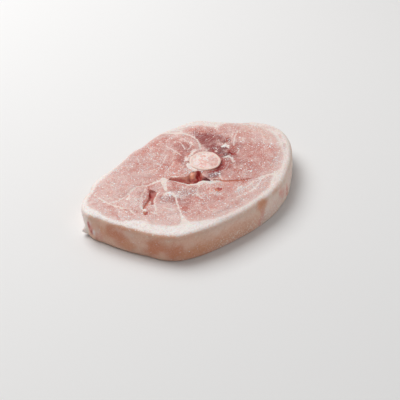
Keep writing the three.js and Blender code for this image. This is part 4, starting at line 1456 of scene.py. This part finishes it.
# %% Meat finish
def make_meat_finish():
    material, tree, shader = start_material("raw pork", 0.5, 0.35)
    where = place_in_mm(tree)
    medium = mottle(tree, where, 2.6, 4)
    fine = mottle(tree, where, 1.3, 1)
    # the raw attribute carries both the raw red lines and the painted shade lines
    depth, raw = attribute(tree, "depth"), attribute(tree, "raw")
    colour = cut_colour(tree, where, medium, fine, depth, raw)
    icy = frost_cover(tree, where, depth, raw)
    colour = blend_colours(tree, icy, colour, tint(251, 247, 245))
    tree.links.new(colour, shader.inputs["Base Color"])

    dull = maths(tree, "MULTIPLY_ADD", icy, 0.25, ramp(tree, medium, 0.35, 0.7, 0.42, 0.58))
    tree.links.new(dull, shader.inputs["Roughness"])
    grain = maths(tree, "ADD", times(tree, medium, 0.8), times(tree, fine, 0.5))
    raised = maths(tree, "ADD", grain, times(tree, icy, 0.25))
    add_bump(tree, shader, raised, 0.5, 0.45 * MM)
    let_light_in(shader, 0.25, (1.0, 0.4, 0.28), 0.9 * MM)
    return material


# %% The slice
def make_slice(bm, fields):
    places = points_of(bm)
    plan = places[:, :2]
    values = dict(fields, frost=frost_amount(plan), lean_tone=lean_tones(plan), torn_tone=torn_tones(plan))
    values["outer_tone"] = outer_tones(places)
    piece = finish_piece(bm, "pork_meat", "pork_slice", make_meat_finish())
    for name, kept in values.items():
        keep_values(piece.data, name, kept)
    return piece


meat = make_slice(block, fields)
triangles = sum(len(face.vertices) - 2 for face in meat.data.polygons)
print(meat.name, len(meat.data.vertices), "points,", triangles, "triangles")

# %% [markdown]
# ## The bone
#
# A thigh bone sawn across is an egg-shaped ring of hard, smooth bone round a spongy middle. It
# starts as one ring of points from `create_circle`, and each next ring is an extrusion of the
# last: up the wall, over the edge and in towards the middle.

# %% Bone shape
BONE_AROUND = 132
BONE_WALL_ROWS = 14
BONE_CAP_ROWS = 16


def bone_ring_places(inside, height):
    """The points of one ring, so many millimetres inside the skin of the bone."""
    angle = math.tau * np.arange(BONE_AROUND) / BONE_AROUND
    worn = 0.35 * np.cos(2 * angle) + 0.3 * np.sin(angle) + 0.22 * np.sin(7 * angle) - 0.1
    reach = bone_reach(angle) - inside + worn * soft_step(THICKNESS - 2.5, THICKNESS, np.array(height))
    plan = BONE_AT + reach[:, None] * np.column_stack([np.cos(angle), np.sin(angle)])
    return np.column_stack([plan, np.full(BONE_AROUND, height)])


def bone_profile():
    """Rings from the middle of the underside, up the wall and in to the middle of the top."""
    top = THICKNESS + BONE_PROUD
    deepest = BONE_RADIUS * 0.85
    cap = [(deepest * (1 - k / BONE_CAP_ROWS) ** 1.15 + 0.9, 0) for k in range(BONE_CAP_ROWS)]
    wall = [(0.15, 0.12), (0, 0.6)]
    wall += [(0, 0.6 + (top - 3.4) * k / BONE_WALL_ROWS) for k in range(1, BONE_WALL_ROWS + 1)]
    wall += [(-0.2, top - 2.2), (-0.2, top - 1.1), (0, top - 0.55), (0.35, top - 0.18)]
    lid = [(inside, top) for inside, _ in reversed(cap)]
    return cap + wall + lid


def extrude_ring(bm, edges, places):
    """Extrudes a ring of edges and moves its new points to the places of the next ring."""
    made = bmesh.ops.extrude_edge_only(bm, edges=edges)["geom"]
    points = {item for item in made if isinstance(item, bmesh.types.BMVert)}
    for vert in points:
        angle = math.atan2(vert.co.y - BONE_AT[1], vert.co.x - BONE_AT[0])
        vert.co = places[round(angle / math.tau * BONE_AROUND) % BONE_AROUND]
    return [item for item in made if isinstance(item, bmesh.types.BMEdge) and points.issuperset(item.verts)]


# %% Bone relief
def bone_relief(places):
    """Roughness of the sawn bone, with the spongy middle a little sunk."""
    inside = -beyond_bone(places[:, :2])
    spongy = soft_step(BONE_RING - 0.5, BONE_RING + 1.2, inside)
    pores = rough_noise(places, 1.1, 11.0) + 0.7 * rough_noise(places, 2.6, 12.0)
    tilt = 0.018 * (places[:, 1] - BONE_AT[1]) - 0.012 * (places[:, 0] - BONE_AT[0])
    return spongy * (0.16 * pores - 0.45) + (1 - spongy) * 0.06 * pores + tilt


def roughen_bone(bm):
    places = points_of(bm)
    face = places[:, 2] > THICKNESS
    places[:, 2] += np.where(face, bone_relief(places), 0)
    wall = (places[:, 2] > 1) & ~face
    swell = 0.12 * rough_noise(places, 4.0, 6.0) * wall
    offset = places[:, :2] - BONE_AT
    places[:, :2] += offset / np.linalg.norm(offset, axis=1)[:, None].clip(1) * swell[:, None]
    move_points(bm, places)


def make_bone_mesh():
    """A column of rings, closed at both ends with a fan of faces."""
    bm = bmesh.new()
    bmesh.ops.create_circle(bm, segments=BONE_AROUND, radius=1)
    first_ring, *rings = bone_profile()
    move_points(bm, bone_ring_places(*first_ring))
    first = last = list(bm.edges)
    for ring in rings:
        last = extrude_ring(bm, last, bone_ring_places(*ring))
    for ends in (first, last):
        bmesh.ops.contextual_create(bm, geom=ends)
    caps = [face for face in bm.faces if len(face.verts) > 4]
    bmesh.ops.poke(bm, faces=caps)
    roughen_bone(bm)
    return bm


# %% Bone finish
def make_bone_finish():
    material, tree, shader = start_material("sawn bone", 0.5, 0.35)
    where = place_in_mm(tree)
    coarse, medium, fine = mottle(tree, where, 5, 3), mottle(tree, where, 1.8, 4), mottle(tree, where, 0.7, 3)
    pores = box(tree, "TexVoronoi", {"Vector": where, "Scale": 1.1}).outputs["Distance"]
    wobble = maths(tree, "ADD", attribute(tree, "inside"), times(tree, coarse, 3.0))
    spongy = ramp(tree, wobble, BONE_RING + 0.8, BONE_RING + 3.4)
    ring = lay_over(tree, tint(244, 220, 210), tint(240, 204, 194), medium, 0.45, 0.7)
    middle = lay_over(tree, tint(251, 233, 226), tint(241, 194, 184), coarse, 0.44, 0.62)
    middle = lay_over(tree, middle, tint(252, 240, 235), medium, 0.52, 0.64, 0.8)
    middle = lay_over(tree, middle, tint(228, 154, 146), medium, 0.45, 0.34, 0.7)
    middle = lay_over(tree, middle, tint(210, 140, 130), pores, 0.28, 0.1, 0.25)
    colour = blend_colours(tree, spongy, ring, middle)

    # under the cut face the wall is pinker and darker: tissue on it, and painted shade of the gap round it
    low = ramp(tree, along_axis(tree, where, "Z"), THICKNESS + 0.6, THICKNESS - 0.4)
    colour = blend_colours(tree, low, colour, tint(240, 186, 172))
    # painted shade on the side of the wall that faces away from the light, where the meat is sunken, tinted
    # dark red as blood
    colour = blend_colours(tree, times(tree, low, attribute(tree, "shade_and_blood")), colour, tint(168, 62, 58))
    tree.links.new(colour, shader.inputs["Base Color"])
    raised = maths(tree, "ADD", times(tree, pores, spongy), times(tree, fine, 0.4))
    add_bump(tree, shader, raised, 0.6, 0.3 * MM)
    let_light_in(shader, 0.25, (1.0, 0.45, 0.3), 1.8 * MM)
    return material


# %% The bone
SHADE_AND_BLOOD_TURN = 0.9         # direction of the painted shade, tinted as blood, on the wall, clockwise from +X

bone = finish_piece(make_bone_mesh(), "bone", "thigh_bone", make_bone_finish())
bone_places = mesh_points_mm(bone.data)
on_cap = (bone_places[:, 2] > THICKNESS - 0.5) | (bone_places[:, 2] < 0.5)
keep_values(bone.data, "inside", np.where(on_cap, -beyond_bone(bone_places[:, :2]), 0))
way_round = np.arctan2(*(bone_places[:, :2] - BONE_AT).T[::-1])
# painted shade, tinted as blood, on the side of the wall away from the light
keep_values(bone.data, "shade_and_blood", 0.9 * soft_step(0.2, 0.8, np.cos(way_round + SHADE_AND_BLOOD_TURN)))
print(bone.name, len(bone.data.polygons), "faces")

# %% [markdown]
# ## Frost
#
# The meat is half thawed, and grains of frost still lie on it. They could be dots in the
# material, but real grains catch the light and show at the edge of the slice. Each is a small
# squashed icosphere on a point of the surface, and all of them together are one mesh.

# %% Frost grains
CHANCE_SEED = 4934
DOUBLINGS = 11                 # one grain is doubled this many times
GRAIN_SIZE = (0.6, 1.5)        # millimetres across, smallest and largest
GRAIN_HEIGHT = 0.3             # height as a share of the width
SUNK = 0.08                    # how deep its middle sits in the meat, as a share of the width
SIDE_SHARE = 0.08              # grains on the side, as a share of those on the cut face


def make_frost_finish():
    material, tree, shader = start_material("frost", 0.5, 0.4)
    blotches = mottle(tree, place_in_mm(tree), 5)
    colour = blend_colours(tree, blotches, tint(252, 248, 247), tint(255, 254, 254))
    tree.links.new(colour, shader.inputs["Base Color"])
    let_light_in(shader, 0.3, (1.0, 0.9, 0.85), 0.8 * MM)
    return material


def make_many_grains():
    """Equal grains, all in one place, each with the same number of points."""
    bm = bmesh.new()
    bmesh.ops.create_icosphere(bm, subdivisions=1, radius=1)
    each = len(bm.verts)
    for _ in range(DOUBLINGS):
        bmesh.ops.duplicate(bm, geom=bm.verts[:] + bm.edges[:] + bm.faces[:])
    return bm, each


def grain_chances(places, normals, fields):
    """How likely each point is to carry a grain: none in an opening, few on the side."""
    likely = frost_amount(places[:, :2]) ** 2 * (0.25 + 0.75 * soft_step(1, -3, fields["fat"]))
    likely *= np.where(normals[:, 2] > 0.7, 1, SIDE_SHARE) * (fields["depth"] < 0.1)
    likely[places[:, 2] < 1.5] = 0
    return likely / likely.sum()


def make_frost(meat, fields):
    """Squashed, turned and spun grains on points of the slice, drawn by chance."""
    chance = np.random.default_rng(CHANCE_SEED)
    places = mesh_points_mm(meat)
    normals = np.empty(3 * len(places), np.float32)
    meat.vertices.foreach_get("normal", normals)
    normals = normals.reshape(-1, 3)
    bm, each = make_many_grains()
    count = len(bm.verts) // each
    picked = chance.choice(len(places), count, replace=False, p=grain_chances(places, normals, fields))
    shape = points_of(bm)[:each]
    grains = []
    for k in picked:
        width = GRAIN_SIZE[0] + (GRAIN_SIZE[1] - GRAIN_SIZE[0]) * chance.random() ** 2
        size = 0.5 * width * np.array((1 + 0.9 * chance.random(), 1, GRAIN_HEIGHT))
        turn = Vector(normals[k]).to_track_quat("Z", "Y").to_matrix()
        spin = Matrix.Rotation(chance.random() * math.tau, 3, "Z")
        grains.append(places[k] - SUNK * width * normals[k] + (shape * size) @ np.array(turn @ spin).T)
    move_points(bm, np.vstack(grains))
    return finish_piece(bm, "frost", None, make_frost_finish())


frost = make_frost(meat.data, fields)
print(frost.name, len(frost.data.polygons), "faces")
